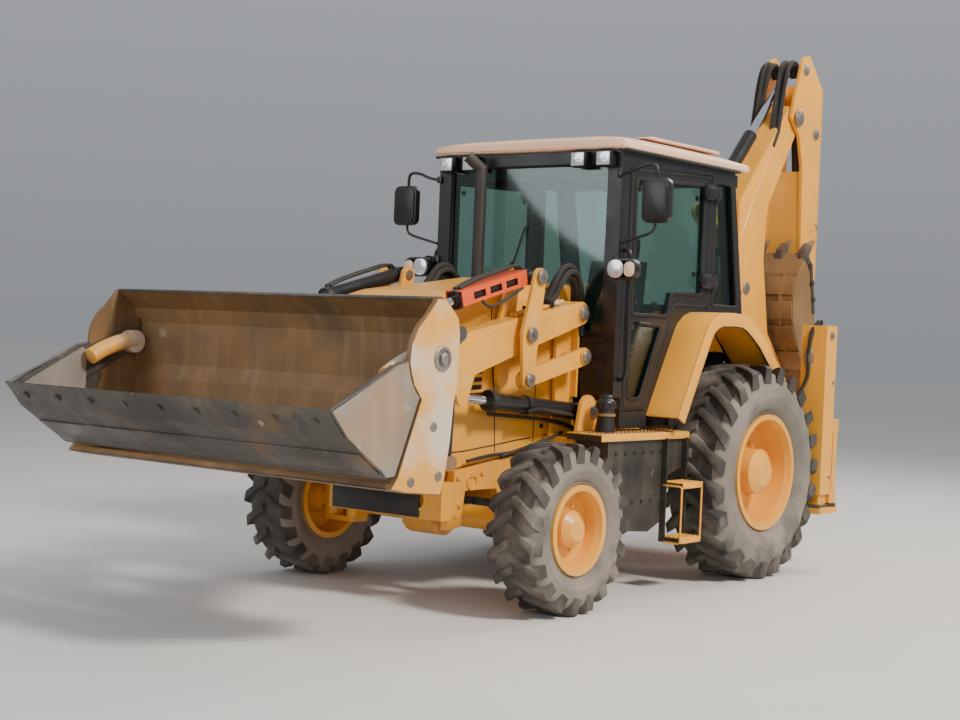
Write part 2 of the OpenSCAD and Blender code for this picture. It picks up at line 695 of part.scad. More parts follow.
module bucket_blade() color(rust) at_origin() {
    difference() {
        plate(blade_back, -half_bucket + 1, half_bucket - 1);
        both() translate([3400, jaw_arm_in - 8, 1290]) cube([200, jaw_arm_t + 16, 260]);
    }
    both() {
        plate(blade_cheek, half_bucket - cheek_t, half_bucket);
        pin(jaw_pivot, jaw_pin_r, jaw_arm_in - 4, half_bucket - 1);
        for (y = [ear_in, ear_out]) slab(y, y + ear_t) difference() {
            union() {
                bar(bucket_hinge, bucket_top, 62, 50);
                polygon([bucket_hinge + [0, -62], [3570, 780], [3500, 1300], bucket_top + [0, 50]]);
            }
            translate(bucket_hinge) circle(pin_r + pin_gap);
        }
        pin(bucket_top, pin_r, ear_in, link_inner + lever_t + 4);
        pin(bucket_top, pin_r, link_out - 4, ear_out + ear_t);
        for (y = [jaw_ram_y - 42, jaw_ram_y + 30]) slab(y, y + 12) {
            bar(jaw_ram_base, jaw_ram_base + [60, 0], 36, 36);
            translate(jaw_ram_base + [0, -36]) square([150, 72]);
        }
        pin(jaw_ram_base, jaw_eye_pin_r, jaw_ram_y - 42, jaw_ram_y + 42);
    }
}

module bucket_jaw() color(steel) at_origin() {
    plate(jaw_floor, -half_bucket + 2, half_bucket - 2);
    both() {
        plate(jaw_side, half_bucket - cheek_t - pass_gap - 1, half_bucket - 1);
        difference() {
            union() {
                slab(jaw_arm_in + 19, half_bucket - cheek_t - pass_gap) {
                    bar(jaw_pivot, [3880, 1290], 62, 80);
                    polygon([[3880, 1365], [3905, 1382], [4300, 1178], [4225, 1056], [4134, 988], [3975, 890], [3860, 1100]]);
                }
                pin(jaw_pivot, 58, jaw_arm_in, jaw_arm_in + 32);
                slab(jaw_arm_in, jaw_arm_in + jaw_arm_t) bar(jaw_pivot, jaw_ram_eye, 50, 36);
            }
            pin(jaw_pivot, jaw_pin_r + pin_gap, jaw_arm_in - 1, half_bucket);
        }
        pin(jaw_ram_eye, jaw_eye_pin_r, jaw_ram_y + 16, jaw_arm_in + 1);
    }
}

jaw_eye_pin_r = 20;
module jaw_barrels() color(black) at_origin() both()
    ram_barrel(jaw_ram_base, jaw_ram_eye, jaw_ram_y, 330, 26, 34, 56, jaw_eye_pin_r + pin_gap, 14);
module jaw_rods() color(steel) at_origin() both()
    ram_rod(jaw_ram_base, jaw_ram_eye, jaw_ram_y, 325, 14, 30, 28);

// Backhoe: a slide frame with the sleeves of the stabilisers, and the carriage on it
slide_z = [500, 1000];
slide_half = 45;
slide_x = [-965, -870];
module slide_frame() {
    for (z = slide_z) translate([slide_x[0], -1078, z - slide_half]) cube([95, 2156, 2 * slide_half]);
    for (y = [-1078, -420, 380, 1038]) translate([-950, y, slide_z[0]]) cube([60, 40, slide_z[1] - slide_z[0]]);
}

sleeve_x = -872;
sleeve_d = 158;
leg_wall = 16;
module stabiliser_sleeves() both() difference() {
    translate([sleeve_x, sleeve_in_y, 520]) cube([sleeve_d, sleeve_w, sleeve_top_z - 520]);
    translate([sleeve_x + leg_wall, sleeve_in_y + leg_wall, 500])
        cube([sleeve_d - 2 * leg_wall, sleeve_w - 2 * leg_wall, sleeve_top_z - 520]);
}
module rear_frame() color(paint) at_origin() {
    slide_frame();
    stabiliser_sleeves();
}

module stabiliser_leg(s) color(paint) at_origin() mirror([0, s < 0 ? 1 : 0, 0]) {
    d = leg_wall + pass_gap;
    translate([sleeve_x + d, sleeve_in_y + d, pad_z + 30])
        cube([sleeve_d - 2 * d, sleeve_w - 2 * d, sleeve_top_z - pad_z - 150]);
    for (z = [560, sleeve_top_z - 220])
        translate([sleeve_x + leg_wall + pin_gap, sleeve_in_y + leg_wall + pin_gap, z])
            cube([sleeve_d - 2 * leg_wall - 2 * pin_gap, sleeve_w - 2 * leg_wall - 2 * pin_gap, 80]);
    translate([sleeve_x - 58, sleeve_in_y - 30, pad_z]) cube([262, sleeve_w + 60, 40]);
}

hub_r = 110;
swing_pin_r = 45;
lug_z = [[560, 640], [860, 916]];
carriage_x = -1005;
module carriage() color(paint) at_origin() translate([0, hoe_y, 0]) {
    top = slide_z[1] + slide_half;
    low = slide_z[0] - slide_half;
    translate([carriage_x, -240, 400]) cube([slide_x[0] - pin_gap - carriage_x, 480, 690]);
    for (y = [-240, 100]) {
        translate([carriage_x, y, top + pin_gap]) cube([slide_x[1] - carriage_x + 20, 140, 24]);
        translate([slide_x[1] + pin_gap, y, slide_z[1] + 4]) cube([19.7, 140, slide_half + 20]);
        translate([carriage_x, y, low - pin_gap - 30]) cube([slide_x[1] - carriage_x + 20, 140, 30]);
    }
    for (z = lug_z) difference() {
        union() {
            translate([swing_x, -hub_r, z[0]]) cube([carriage_x - swing_x + 1, 2 * hub_r, z[1] - z[0]]);
            translate([swing_x, 0, z[0]]) cylinder(r = hub_r, h = z[1] - z[0]);
        }
        translate([swing_x, 0, z[0] - 1]) cylinder(r = swing_pin_r + pin_gap, h = 200);
    }
}

post_in = boom_w / 2 + 11;
post_t = 24;
module kingpost() color(paint) at_origin() translate([0, hoe_y, 0]) {
    translate([swing_x, 0, lug_z[0][0] - 20]) cylinder(r = swing_pin_r, h = lug_z[1][1] - lug_z[0][0] + 40);
    translate([swing_x, 0, lug_z[0][1] + pin_gap]) cylinder(r = 95, h = lug_z[1][0] - lug_z[0][1] - 2 * pin_gap);
    translate([-1334, -post_in - post_t, lug_z[0][1] + pass_gap])
        cube([214, 2 * (post_in + post_t), lug_z[1][0] - lug_z[0][1] - 2 * pass_gap]);
    both() slab(post_in, post_in + post_t) {
        bar(boom_foot, [-1395, 980], 54, 52);
        bar([-1395, 985], boom_ram_base, 38, 40);
        translate([-1400, lug_z[0][1] + pass_gap])
            square([80, lug_z[1][0] - lug_z[0][1] - 2 * pass_gap]);
    }
    pin(boom_foot, hoe_pin_r, -post_in - post_t, post_in + post_t);
    pin(boom_ram_base, 25, -post_in - post_t, post_in + post_t);
}

boom_front = [
    [-1340, 650], [-1340, 960], [-1240, 1060], [-1195, 1110], [-1000, 1250], [-660, 1650], [-574, 2100], [-550, 2560],
    [-1200, 3290], [-1240, 3330]
];
boom_rear = [
    [-1360, 3290], [-1385, 3220], [-1340, 3140], [-960, 2560], [-930, 2167], [-1038, 1634], [-1330, 1330],
    [-1435, 1000], [-1447, 650]
];
boom_wall = 20;
module boom() color(paint) at_origin() translate([0, hoe_y, 0]) {
    difference() {
        union() {
            plate(concat(boom_front, boom_rear), -boom_w / 2, boom_w / 2);
            pin(boom_foot, 52, -boom_w / 2, boom_w / 2);
            pin(stick_pivot, 88, -boom_w / 2, boom_w / 2);
        }
        // Channel for the boom ram, open in front
        plate([
            [-1300, 1080], [-1150, 1330], [-940, 1640], [-840, 2060], [-500, 2060], [-560, 1500], [-1000, 1000]
        ], -boom_w / 2 + boom_wall, boom_w / 2 - boom_wall);
        pin(boom_foot, hoe_pin_r + pin_gap, -200, 200);
        pin(stick_pivot, 35 + pin_gap, -200, 200);
    }
    for (y = [-80, 56]) slab(y, y + 24) difference() {
        union() {
            bar([-600, 2330], stick_ram_base, 110, 60);
            bar([-700, 2520], stick_ram_base, 60, 60);
        }
        translate([-1200, 2000]) square([520, 800]);
    }
    pin(stick_ram_base, hoe_pin_r, -80, 80);
    both() pin(boom_ram_eye, hoe_pin_r, 42, boom_w / 2);
}

module boom_barrel() color(black) at_origin()
    ram_barrel(boom_ram_base, boom_ram_eye, hoe_y, 930, 56, 50, 90, 25 + pin_gap, 30);
module boom_rod() color(steel) at_origin() ram_rod(boom_ram_base, boom_ram_eye, hoe_y, 96, 30, 46, 70);
module stick_barrel() color(black) at_origin()
    ram_barrel(stick_ram_base, stick_ram_eye, hoe_y, 840, 50, 54, 96, hoe_pin_r + pin_gap, 32);
module stick_rod() color(steel) at_origin() ram_rod(stick_ram_base, stick_ram_eye, hoe_y, 775, 32, 50, 70);

// Stick: two plates that straddle the boom's top
stick_side = [
    [-1205, 3245], [-1240, 3380], [-1350, 3700], [-1450, 3735], [-1686, 3500], [-1690, 2060], [-1640, 1700],
    [-1614, 1480], [-1560, 1444], [-1505, 1480], [-1462, 1750], [-1450, 2000], [-1400, 2900], [-1330, 3130]
];
stick_t = 22;
stick_in = stick_w / 2 - stick_t;
module stick() color(paint) at_origin() translate([0, hoe_y, 0]) {
    both() difference() {
        plate(stick_side, stick_in, stick_w / 2);
        pin(dig_hinge, hoe_pin_r + pin_gap, 0, 200);
    }
    plate([[-1490, 1960], [-1452, 1960], [-1412, 2860], [-1450, 2860]], -stick_in - 1, stick_in + 1);
    plate([[-1660, 3250], [-1686, 3250], [-1686, 3500], [-1640, 3545]], -stick_in - 1, stick_in + 1);
    pin(stick_pivot, 35, -stick_w / 2 - 20, stick_w / 2 + 20);
    pin(dig_ram_base, hoe_pin_r, -stick_w / 2, stick_w / 2);
    pin(idler_pivot, 25, -stick_w / 2, stick_w / 2);
    both() pin(stick_ram_eye, hoe_pin_r, 44, stick_w / 2);
}
module dig_barrel() color(black) at_origin()
    ram_barrel(dig_ram_base, tip_joint, hoe_y, 940, 50, 52, 80, hoe_pin_r + pin_gap, 28);
module dig_rod() color(steel) at_origin() ram_rod(dig_ram_base, tip_joint, hoe_y, 700, 28, 46, 60);

// Links between the stick, the ram and the digging bucket
module idler_link() color(paint) at_origin() translate([0, hoe_y, 0]) both() {
    slab(92, 114) difference() {
        bar(idler_pivot, tip_joint, 48, tip_boss_r);
        translate(idler_pivot) circle(25 + pin_gap);
    }
    pin(tip_joint, 25, 38, 114);
}
module dig_link() color(paint) at_origin() translate([0, hoe_y, 0]) {
    both() slab(60, 86) difference() {
        bar(tip_joint, dig_pin, 42, 42);
        translate(tip_joint) circle(25 + pin_gap);
    }
    pin(dig_pin, 40, -86, 86);
}

dig_outer = [
    [-1478, 1222], [-1350, 1370], [-1180, 1530], [-1075, 1720], [-1060, 1900], [-1110, 2080], [-1240, 2240]
];
dig_inner = [
    [-1262, 2226], [-1134, 2068], [-1083, 1895], [-1097, 1728], [-1198, 1546], [-1366, 1388], [-1496, 1238]
];
dig_teeth = 4;
module dig_bucket() color(rust) at_origin() translate([0, hoe_y, 0]) {
    plate(concat(dig_outer, dig_inner), -dig_w / 2, dig_w / 2);
    both() {
        plate(concat(dig_outer, [[-1330, 2150], [-1400, 1800], [-1440, 1560], [-1480, 1400]]), dig_w / 2 - 20, dig_w / 2);
        slab(stick_w / 2 + pass_gap, stick_w / 2 + pass_gap + 22) {
            bar(dig_hinge, dig_pin, 58, 46);
            polygon([dig_hinge + [0, 58], [-1400, 1480], [-1280, 1440], [-1360, 1372], [-1480, 1230], dig_pin + [0, -46]]);
        }
        pin(dig_pin, 25, 92, stick_w / 2 + pass_gap + 22);
    }
    pin(dig_hinge, hoe_pin_r, -stick_w / 2 - 38, stick_w / 2 + 38);
    for (i = [0:dig_teeth - 1]) translate([0, (i / (dig_teeth - 1) - 0.5) * (dig_w - 50) - 25, 0])
        plate([[-1215, 2195], [-1238, 2242], [-1300, 2300], [-1370, 2340], [-1320, 2260], [-1250, 2190]], 0, 50);
}

main_frame();
engine();
axles();
rear_fenders();
cab_frame();
cab_roof();
cab_glass();
cab_floor();
seat();
side_tanks();
cab_fittings();
rear_frame();
hood();
door(1);  // door_left
door_glass(1);  // door_left_glass
door(-1);  // door_right
door_glass(-1);  // door_right_glass
knuckle(1);  // knuckle_left
knuckle(-1);  // knuckle_right
front_tyre(1);  // tyre_front_left
front_tyre(-1);  // tyre_front_right
rear_tyre(1);  // tyre_rear_left
rear_tyre(-1);  // tyre_rear_right
front_rim(1);  // rim_front_left
front_rim(-1);  // rim_front_right
rear_rim(1);  // rim_rear_left
rear_rim(-1);  // rim_rear_right
loader_arms();
rear_levers();
level_links();
lift_barrels();
lift_rods();
tilt_pins();
tilt_barrels();
lift_lock();
tilt_rods();
lever_pins();
front_levers();
link_pins();
bucket_links();
bucket_pins();
bucket_blade();
bucket_jaw();
jaw_barrels();
jaw_rods();
carriage();
kingpost();
boom();
boom_barrel();
boom_rod();
stick_barrel();
stick_rod();
stick();
dig_barrel();
dig_rod();
idler_link();
dig_link();
dig_bucket();
stabiliser_leg(1);  // leg_left
stabiliser_leg(-1);  // leg_right
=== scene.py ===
"""Looks of the backhoe loader over its CAD frame: finishes, tyres, fittings, hoses and a plain studio."""

import json
import logging
import math
from dataclasses import dataclass, field
from enum import Enum

import bmesh
import bpy
from mathutils import Matrix, Vector

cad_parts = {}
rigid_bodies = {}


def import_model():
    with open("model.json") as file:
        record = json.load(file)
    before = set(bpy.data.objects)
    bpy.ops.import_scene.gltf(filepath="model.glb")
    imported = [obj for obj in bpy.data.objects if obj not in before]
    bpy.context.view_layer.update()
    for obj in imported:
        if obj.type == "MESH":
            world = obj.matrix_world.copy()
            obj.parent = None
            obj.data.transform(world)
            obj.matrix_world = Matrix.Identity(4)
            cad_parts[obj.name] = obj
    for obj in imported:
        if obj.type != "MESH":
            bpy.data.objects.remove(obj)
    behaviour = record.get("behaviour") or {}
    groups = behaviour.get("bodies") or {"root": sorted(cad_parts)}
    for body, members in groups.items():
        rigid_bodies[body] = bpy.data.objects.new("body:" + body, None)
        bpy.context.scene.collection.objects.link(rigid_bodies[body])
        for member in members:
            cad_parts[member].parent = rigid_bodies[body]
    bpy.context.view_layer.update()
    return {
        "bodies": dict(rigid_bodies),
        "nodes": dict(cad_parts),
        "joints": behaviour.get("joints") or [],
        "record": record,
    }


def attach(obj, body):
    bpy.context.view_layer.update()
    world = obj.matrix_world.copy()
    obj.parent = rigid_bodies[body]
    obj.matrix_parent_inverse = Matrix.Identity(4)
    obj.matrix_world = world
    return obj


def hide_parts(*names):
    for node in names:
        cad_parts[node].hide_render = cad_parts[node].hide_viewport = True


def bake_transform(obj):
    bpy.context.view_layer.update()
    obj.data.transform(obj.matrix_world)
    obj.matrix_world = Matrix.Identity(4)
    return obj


log = logging.getLogger("backhoe_loader")
MID_X = 1258.5  # Middle of the machine's length, in millimetres ahead of the rear axle
MM = 1000.0  # Millimetres in a metre
CREASE = math.radians(38)  # Edges sharper than this stay sharp in smooth shading
SIDES = {1: "left", -1: "right"}  # The sign of y, and the side's name
Point = tuple[float, float, float]
Flat = tuple[float, float]


def row(x: float, y: float, z: float) -> Vector:
    """Turns a machine point into the row frame.

    Args:
        x: Millimetres ahead of the rear axle.
        y: Millimetres to the machine's left.
        z: Millimetres above the ground.
    Returns:
        The same point in metres in the row frame.
    """
    return Vector(((x - MID_X) / MM, y / MM, z / MM))


class Slot(Enum):
    """Material slots of the record."""

    PAINT = "yellow_paint"
    BLACK = "black_paint"
    ORANGE = "orange_paint"
    RUBBER = "tyre_rubber"
    CHROME = "ram_chrome"
    STEEL = "worn_steel"
    RUST = "rusty_steel"
    GLASS = "cab_glass"
    SEAT = "seat_fabric"


@dataclass(frozen=True)
class Finish:
    """A surface finish with dust, patches and wear."""

    name: str
    slot: Slot
    colour: Point
    roughness: float = 0.45
    metallic: float = 0.0
    shade: float = 0.1
    patch: Point | None = None
    patch_amount: float = 0.0
    patch_scale: float = 3.0
    chip: Point | None = None
    chip_amount: float = 0.0
    chip_scale: float = 14.0
    dust: float = 0.25
    dust_colour: Point = (0.50, 0.38, 0.26)
    dust_top: float = 0.9
    streaks: float = 0.0
    bump: float = 0.0
    bump_scale: float = 60.0
    coat: float = 0.0
    transmission: float = 0.0
    alpha: float = 1.0


PAINT = Finish("sun_yellow_paint", Slot.PAINT, (0.83, 0.37, 0.032), 0.36, shade=0.08, chip=(0.20, 0.11, 0.05),
               chip_amount=0.14, dust=0.10, dust_top=0.55, streaks=0.18, coat=0.25, bump=0.02)
LOADER_PAINT = Finish("loader_yellow_paint", Slot.PAINT, (0.81, 0.36, 0.034), 0.40, shade=0.10,
                      patch=(0.62, 0.47, 0.30), patch_amount=0.05, patch_scale=3.6, chip=(0.34, 0.24, 0.15),
                      chip_amount=0.24, dust=0.13, dust_top=0.6, streaks=0.28, coat=0.15, bump=0.03)
CHEEK_PAINT = Finish("scoured_yellow_paint", Slot.PAINT, (0.78, 0.37, 0.055), 0.44, shade=0.12,
                     patch=(0.60, 0.52, 0.42), patch_amount=0.42, patch_scale=2.3, chip=(0.33, 0.25, 0.18),
                     chip_amount=0.45, chip_scale=9.0, dust=0.22, streaks=0.5, bump=0.05)
RIM_PAINT = Finish("rim_yellow_paint", Slot.PAINT, (0.82, 0.38, 0.055), 0.44, shade=0.08,
                   chip=(0.30, 0.14, 0.05), chip_amount=0.20, chip_scale=9.0, dust=0.20, bump=0.02)
BLACK = Finish("black_satin_paint", Slot.BLACK, (0.010, 0.010, 0.011), 0.34, dust=0.035, dust_top=1.5,
               coat=0.15, chip=(0.10, 0.09, 0.08), chip_amount=0.08)
TANK_BLACK = Finish("scuffed_black_plastic", Slot.BLACK, (0.016, 0.015, 0.014), 0.50, dust=0.12, dust_top=2.0,
                    chip=(0.20, 0.17, 0.14), chip_amount=0.34, chip_scale=22.0, bump=0.08, streaks=0.12)
HOSE = Finish("hose_rubber", Slot.BLACK, (0.012, 0.012, 0.012), 0.50, dust=0.12, bump=0.06, bump_scale=160.0)
SLEEVE = Finish("woven_hose_sleeve", Slot.BLACK, (0.016, 0.015, 0.014), 0.80, dust=0.14, bump=0.5,
                bump_scale=190.0)
GASKET = Finish("door_seal_rubber", Slot.BLACK, (0.008, 0.008, 0.008), 0.6, dust=0.04)
CABIN = Finish("cabin_plastic", Slot.BLACK, (0.030, 0.031, 0.034), 0.65, dust=0.05, bump=0.05,
               bump_scale=300.0)
ROOF = Finish("sun_bleached_roof", Slot.PAINT, (0.80, 0.50, 0.32), 0.5, shade=0.08, dust=0.22, streaks=0.2,
              dust_colour=(0.66, 0.46, 0.32))
ORANGE = Finish("orange_red_paint", Slot.ORANGE, (0.80, 0.085, 0.016), 0.38, dust=0.05,
                chip=(0.30, 0.10, 0.05), chip_amount=0.12, coat=0.2)
RUBBER = Finish("dusty_tread_rubber", Slot.RUBBER, (0.028, 0.027, 0.026), 0.78, shade=0.3,
                patch=(0.23, 0.20, 0.17), patch_amount=0.30, patch_scale=2.6, dust=0.30, dust_top=0.8,
                dust_colour=(0.38, 0.32, 0.26), bump=0.25, bump_scale=45.0)
WALL_RUBBER = Finish("dusty_tyre_wall", Slot.RUBBER, (0.20, 0.172, 0.145), 0.9, shade=0.3,
                     patch=(0.075, 0.067, 0.060), patch_amount=0.36, patch_scale=3.2, dust=0.36, dust_top=0.6,
                     dust_colour=(0.42, 0.35, 0.28), bump=0.3, bump_scale=38.0)
CHROME = Finish("hard_chrome", Slot.CHROME, (0.74, 0.75, 0.77), 0.12, 1.0, shade=0.03, dust=0.04)
PIN_STEEL = Finish("pin_steel", Slot.STEEL, (0.30, 0.27, 0.24), 0.42, 0.85, shade=0.25, dust=0.20)
WORN = Finish("scoured_steel", Slot.STEEL, (0.100, 0.092, 0.085), 0.40, 0.55, shade=0.35,
              patch=(0.26, 0.145, 0.065), patch_amount=0.20, patch_scale=2.2, chip=(0.48, 0.44, 0.40),
              chip_amount=0.30, chip_scale=6.0, dust=0.10, dust_top=0.7, streaks=0.30, bump=0.15)
WORN_SIDE = Finish("bright_scoured_steel", Slot.STEEL, (0.36, 0.325, 0.29), 0.42, 0.45, shade=0.35,
                   patch=(0.40, 0.26, 0.15), patch_amount=0.30, patch_scale=2.0, chip=(0.62, 0.57, 0.52),
                   chip_amount=0.30, chip_scale=6.0, dust=0.20, streaks=0.5, bump=0.15)
RUST = Finish("rusty_bucket_steel", Slot.RUST, (0.245, 0.135, 0.052), 0.60, 0.2, shade=0.3,
              patch=(0.125, 0.078, 0.040), patch_amount=0.42, patch_scale=1.6, chip=(0.50, 0.41, 0.32),
              chip_amount=0.22, chip_scale=7.0, dust=0.14, streaks=0.3, bump=0.2)
EXHAUST = Finish("dull_exhaust_steel", Slot.RUST, (0.050, 0.046, 0.044), 0.6, 0.5, shade=0.2,
                 patch=(0.13, 0.09, 0.065), patch_amount=0.15, dust=0.08)
LENS = Finish("lamp_glass", Slot.STEEL, (0.80, 0.82, 0.84), 0.12, 0.6, shade=0.02, dust=0.08, coat=1.0)
CREAM = Finish("pale_indicator_lens", Slot.PAINT, (0.85, 0.62, 0.40), 0.25, dust=0.06, coat=0.6)
GLASS = Finish("green_tinted_glass", Slot.GLASS, (0.66, 0.79, 0.745), 0.03, shade=0.0, dust=0.04,
               dust_top=0.3, transmission=1.0)
CUSHION = Finish("charcoal_cloth", Slot.SEAT, (0.030, 0.032, 0.036), 0.92, shade=0.2, dust=0.08, bump=0.5,
                 bump_scale=420.0)
STUDIO = Finish("studio_floor", Slot.STEEL, (0.62, 0.60, 0.57), 0.9, shade=0.02, dust=0.0)

SLOT_FINISH = {
    Slot.PAINT: PAINT, Slot.BLACK: BLACK, Slot.ORANGE: ORANGE, Slot.RUBBER: RUBBER, Slot.CHROME: CHROME,
    Slot.STEEL: PIN_STEEL, Slot.RUST: RUST, Slot.GLASS: GLASS, Slot.SEAT: CUSHION,
}
NODE_FINISH = {
    "loader_arms": LOADER_PAINT, "rear_levers": LOADER_PAINT, "front_levers": LOADER_PAINT,
    "bucket_links": LOADER_PAINT, "bucket_jaw": WORN, "bucket_blade": RUST, "side_tanks": TANK_BLACK,
    "cab_roof": ROOF, "cab_floor": CABIN, "engine": EXHAUST, "dig_bucket": RUST,
}


class Shader:
    """Builds one procedural material from a finish."""

    def __init__(self, finish: Finish) -> None:
        """Makes the material.

        Args:
            finish: The finish it shows.
        """
        self.finish = finish
        self.material = bpy.data.materials.new(finish.name)
        self.material.use_nodes = True
        self.tree = self.material.node_tree
        self.tree.nodes.clear()
        self._build()

    def _node(self, kind: str, **inputs: object) -> bpy.types.Node:
        """Adds a node and fills its sockets.

        Args:
            kind: The node's type.
            inputs: Values or output sockets by socket name, with _ for a space.
        Returns:
            The node.
        """
        node = self.tree.nodes.new(kind)
        for name, value in inputs.items():
            self._feed(node.inputs[name.replace("_", " ")], value)
        return node

    def _feed(self, socket: bpy.types.NodeSocket, value: object) -> None:
        """Sets a socket to a number or links it.

        Args:
            socket: The input socket.
            value: A number, a colour or another node's output.
        """
        if isinstance(value, bpy.types.NodeSocket):
            self.tree.links.new(value, socket)
        else:
            socket.default_value = value

    def _mix(self, factor: object, a: object, b: object) -> bpy.types.NodeSocket:
        """Mixes two colours.

        Args:
            factor: Share of the second colour.
            a: First colour.
            b: Second colour.
        Returns:
            The mixed colour.
        """
        node = self.tree.nodes.new("ShaderNodeMix")
        node.data_type = "RGBA"
        for k, value in ((0, factor), (6, a), (7, b)):
            self._feed(node.inputs[k], value)
        return node.outputs[2]

    def _noise(self, place: bpy.types.NodeSocket, scale: float, detail: float = 4.0) -> bpy.types.NodeSocket:
        """Adds cloudy noise.

        Args:
            place: The coordinates.
            scale: Its scale.
            detail: Its detail.
        Returns:
            The grey value.
        """
        return self._node("ShaderNodeTexNoise", Vector=place, Scale=scale, Detail=detail).outputs[0]

    def _range(self, value: object, a: float, b: float, low: float = 0.0,
               high: float = 1.0) -> bpy.types.NodeSocket:
        """Maps a value from a..b to low..high.

        Args:
            value: The value.
            a: Start of the span it comes from.
            b: End of that span.
            low: Result at a.
            high: Result at b.
        Returns:
            The mapped value.
        """
        node = self.tree.nodes.new("ShaderNodeMapRange")
        for k, item in enumerate((value, a, b, low, high)):
            self._feed(node.inputs[k], item)
        return node.outputs[0]

    def _times(self, a: object, b: object, kind: str = "MULTIPLY") -> bpy.types.NodeSocket:
        """Combines two values by a math node.

        Args:
            a: First value.
            b: Second value.
            kind: The operation.
        Returns:
            The result.
        """
        node = self.tree.nodes.new("ShaderNodeMath")
        node.operation = kind
        node.use_clamp = True
        self._feed(node.inputs[0], a)
        self._feed(node.inputs[1], b)
        return node.outputs[0]

    def _build(self) -> None:
        """Lays out the node tree."""
        f = self.finish
        place = self._node("ShaderNodeTexCoord").outputs["Object"]
        split = self._node("ShaderNodeSeparateXYZ", Vector=place)
        height = split.outputs[2]
        colour: object = (*f.colour, 1.0)
        if f.shade:
            dark = tuple(c * (1.0 - f.shade) for c in f.colour)
            light = tuple(min(1.0, c * (1.0 + 0.6 * f.shade)) for c in f.colour)
            cloud = self._range(self._noise(place, 1.7), 0.35, 0.65)
            colour = self._mix(cloud, (*dark, 1.0), (*light, 1.0))
        rough: object = self._range(self._noise(place, 6.0), 0.3, 0.7, max(0.02, f.roughness - 0.06),
                                    min(1.0, f.roughness + 0.10))
        if f.patch:
            edge = 0.62 - 0.24 * f.patch_amount
            mask = self._times(self._range(self._noise(place, f.patch_scale, 8.0), edge, edge + 0.14), 0.9)
            colour = self._mix(mask, colour, (*f.patch, 1.0))
        if f.chip:
            start = 0.72 - 0.14 * f.chip_amount
            fine = self._noise(place, f.chip_scale, 10.0)
            wide = self._range(self._noise(place, f.chip_scale * 0.18, 3.0), 0.42, 0.62)
            mask = self._times(self._range(fine, start, start + 0.05), wide)
            colour = self._mix(mask, colour, (*f.chip, 1.0))
        if f.streaks:
            stretch = self._node("ShaderNodeMapping", Vector=place, Scale=(16.0, 16.0, 1.1)).outputs[0]
            mask = self._times(self._range(self._noise(stretch, 1.0, 5.0), 0.52, 0.72), 0.5 * f.streaks)
            colour = self._mix(mask, colour, (*f.dust_colour, 1.0))
        if f.dust:
            normal = self._node("ShaderNodeNewGeometry").outputs["Normal"]
            up = self._range(self._node("ShaderNodeSeparateXYZ", Vector=normal).outputs[2], 0.55, 1.0)
            low = self._range(height, 0.1, 1.5, 0.95, 0.22)
            cloud = self._range(self._noise(place, 4.5, 7.0), 0.30, 0.72)
            side = self._times(self._times(low, cloud), f.dust * 1.25)
            top = self._times(self._times(up, cloud), f.dust * f.dust_top * 1.5)
            mask = self._times(side, top, "MAXIMUM")
            colour = self._mix(mask, colour, (*f.dust_colour, 1.0))
            rough = self._times(rough, self._times(mask, 0.5), "ADD")
        shader = self._node("ShaderNodeBsdfPrincipled", Base_Color=colour, Roughness=rough,
                            Metallic=f.metallic, Coat_Weight=f.coat, Coat_Roughness=0.25,
                            Transmission_Weight=f.transmission, IOR=1.45)
        if f.bump:
            grain = self._noise(place, f.bump_scale, 3.0)
            bump = self._node("ShaderNodeBump", Height=grain, Strength=min(1.0, f.bump), Distance=0.004)
            self.tree.links.new(bump.outputs[0], shader.inputs["Normal"])
        out = self.tree.nodes.new("ShaderNodeOutputMaterial")
        if f.transmission:
            clear = self._node("ShaderNodeBsdfTransparent", Color=(*f.colour, 1.0))
            gloss = self._node("ShaderNodeBsdfGlossy", Color=(0.9, 0.95, 0.93, 1.0), Roughness=0.05)
            veil = self._node("ShaderNodeMixShader", Fac=0.06)
            self.tree.links.new(clear.outputs[0], veil.inputs[1])
            self.tree.links.new(gloss.outputs[0], veil.inputs[2])
            self.tree.nodes.remove(shader)
            self.tree.links.new(veil.outputs[0], out.inputs[0])
        else:
            self.tree.links.new(shader.outputs[0], out.inputs[0])


class Paintbox:
    """Keeps one material for each finish."""

    def __init__(self) -> None:
        """Starts empty."""
        self._made: dict[str, bpy.types.Material] = {}

    def get(self, finish: Finish) -> bpy.types.Material:
        """Gives the finish's material.

        Args:
            finish: The finish.
        Returns:
            Its material, made at the first call.
        """
        if finish.name not in self._made:
            self._made[finish.name] = Shader(finish).material
        return self._made[finish.name]

    def dress(self, nodes: dict[str, bpy.types.Object]) -> None:
        """Gives every CAD node the finish of its slot or its own.

        Args:
            nodes: The CAD objects by node.
        """
        by_slot = {slot.value: finish for slot, finish in SLOT_FINISH.items()}
        for name, obj in nodes.items():
            for k, place in enumerate(obj.material_slots):
                known = place.material.name.split(".")[0] if place.material else ""
                finish = by_slot.get(known, PAINT)
                if k == 0 and name in NODE_FINISH:
                    finish = NODE_FINISH[name]
                place.material = self.get(finish)


PAINTBOX = Paintbox()


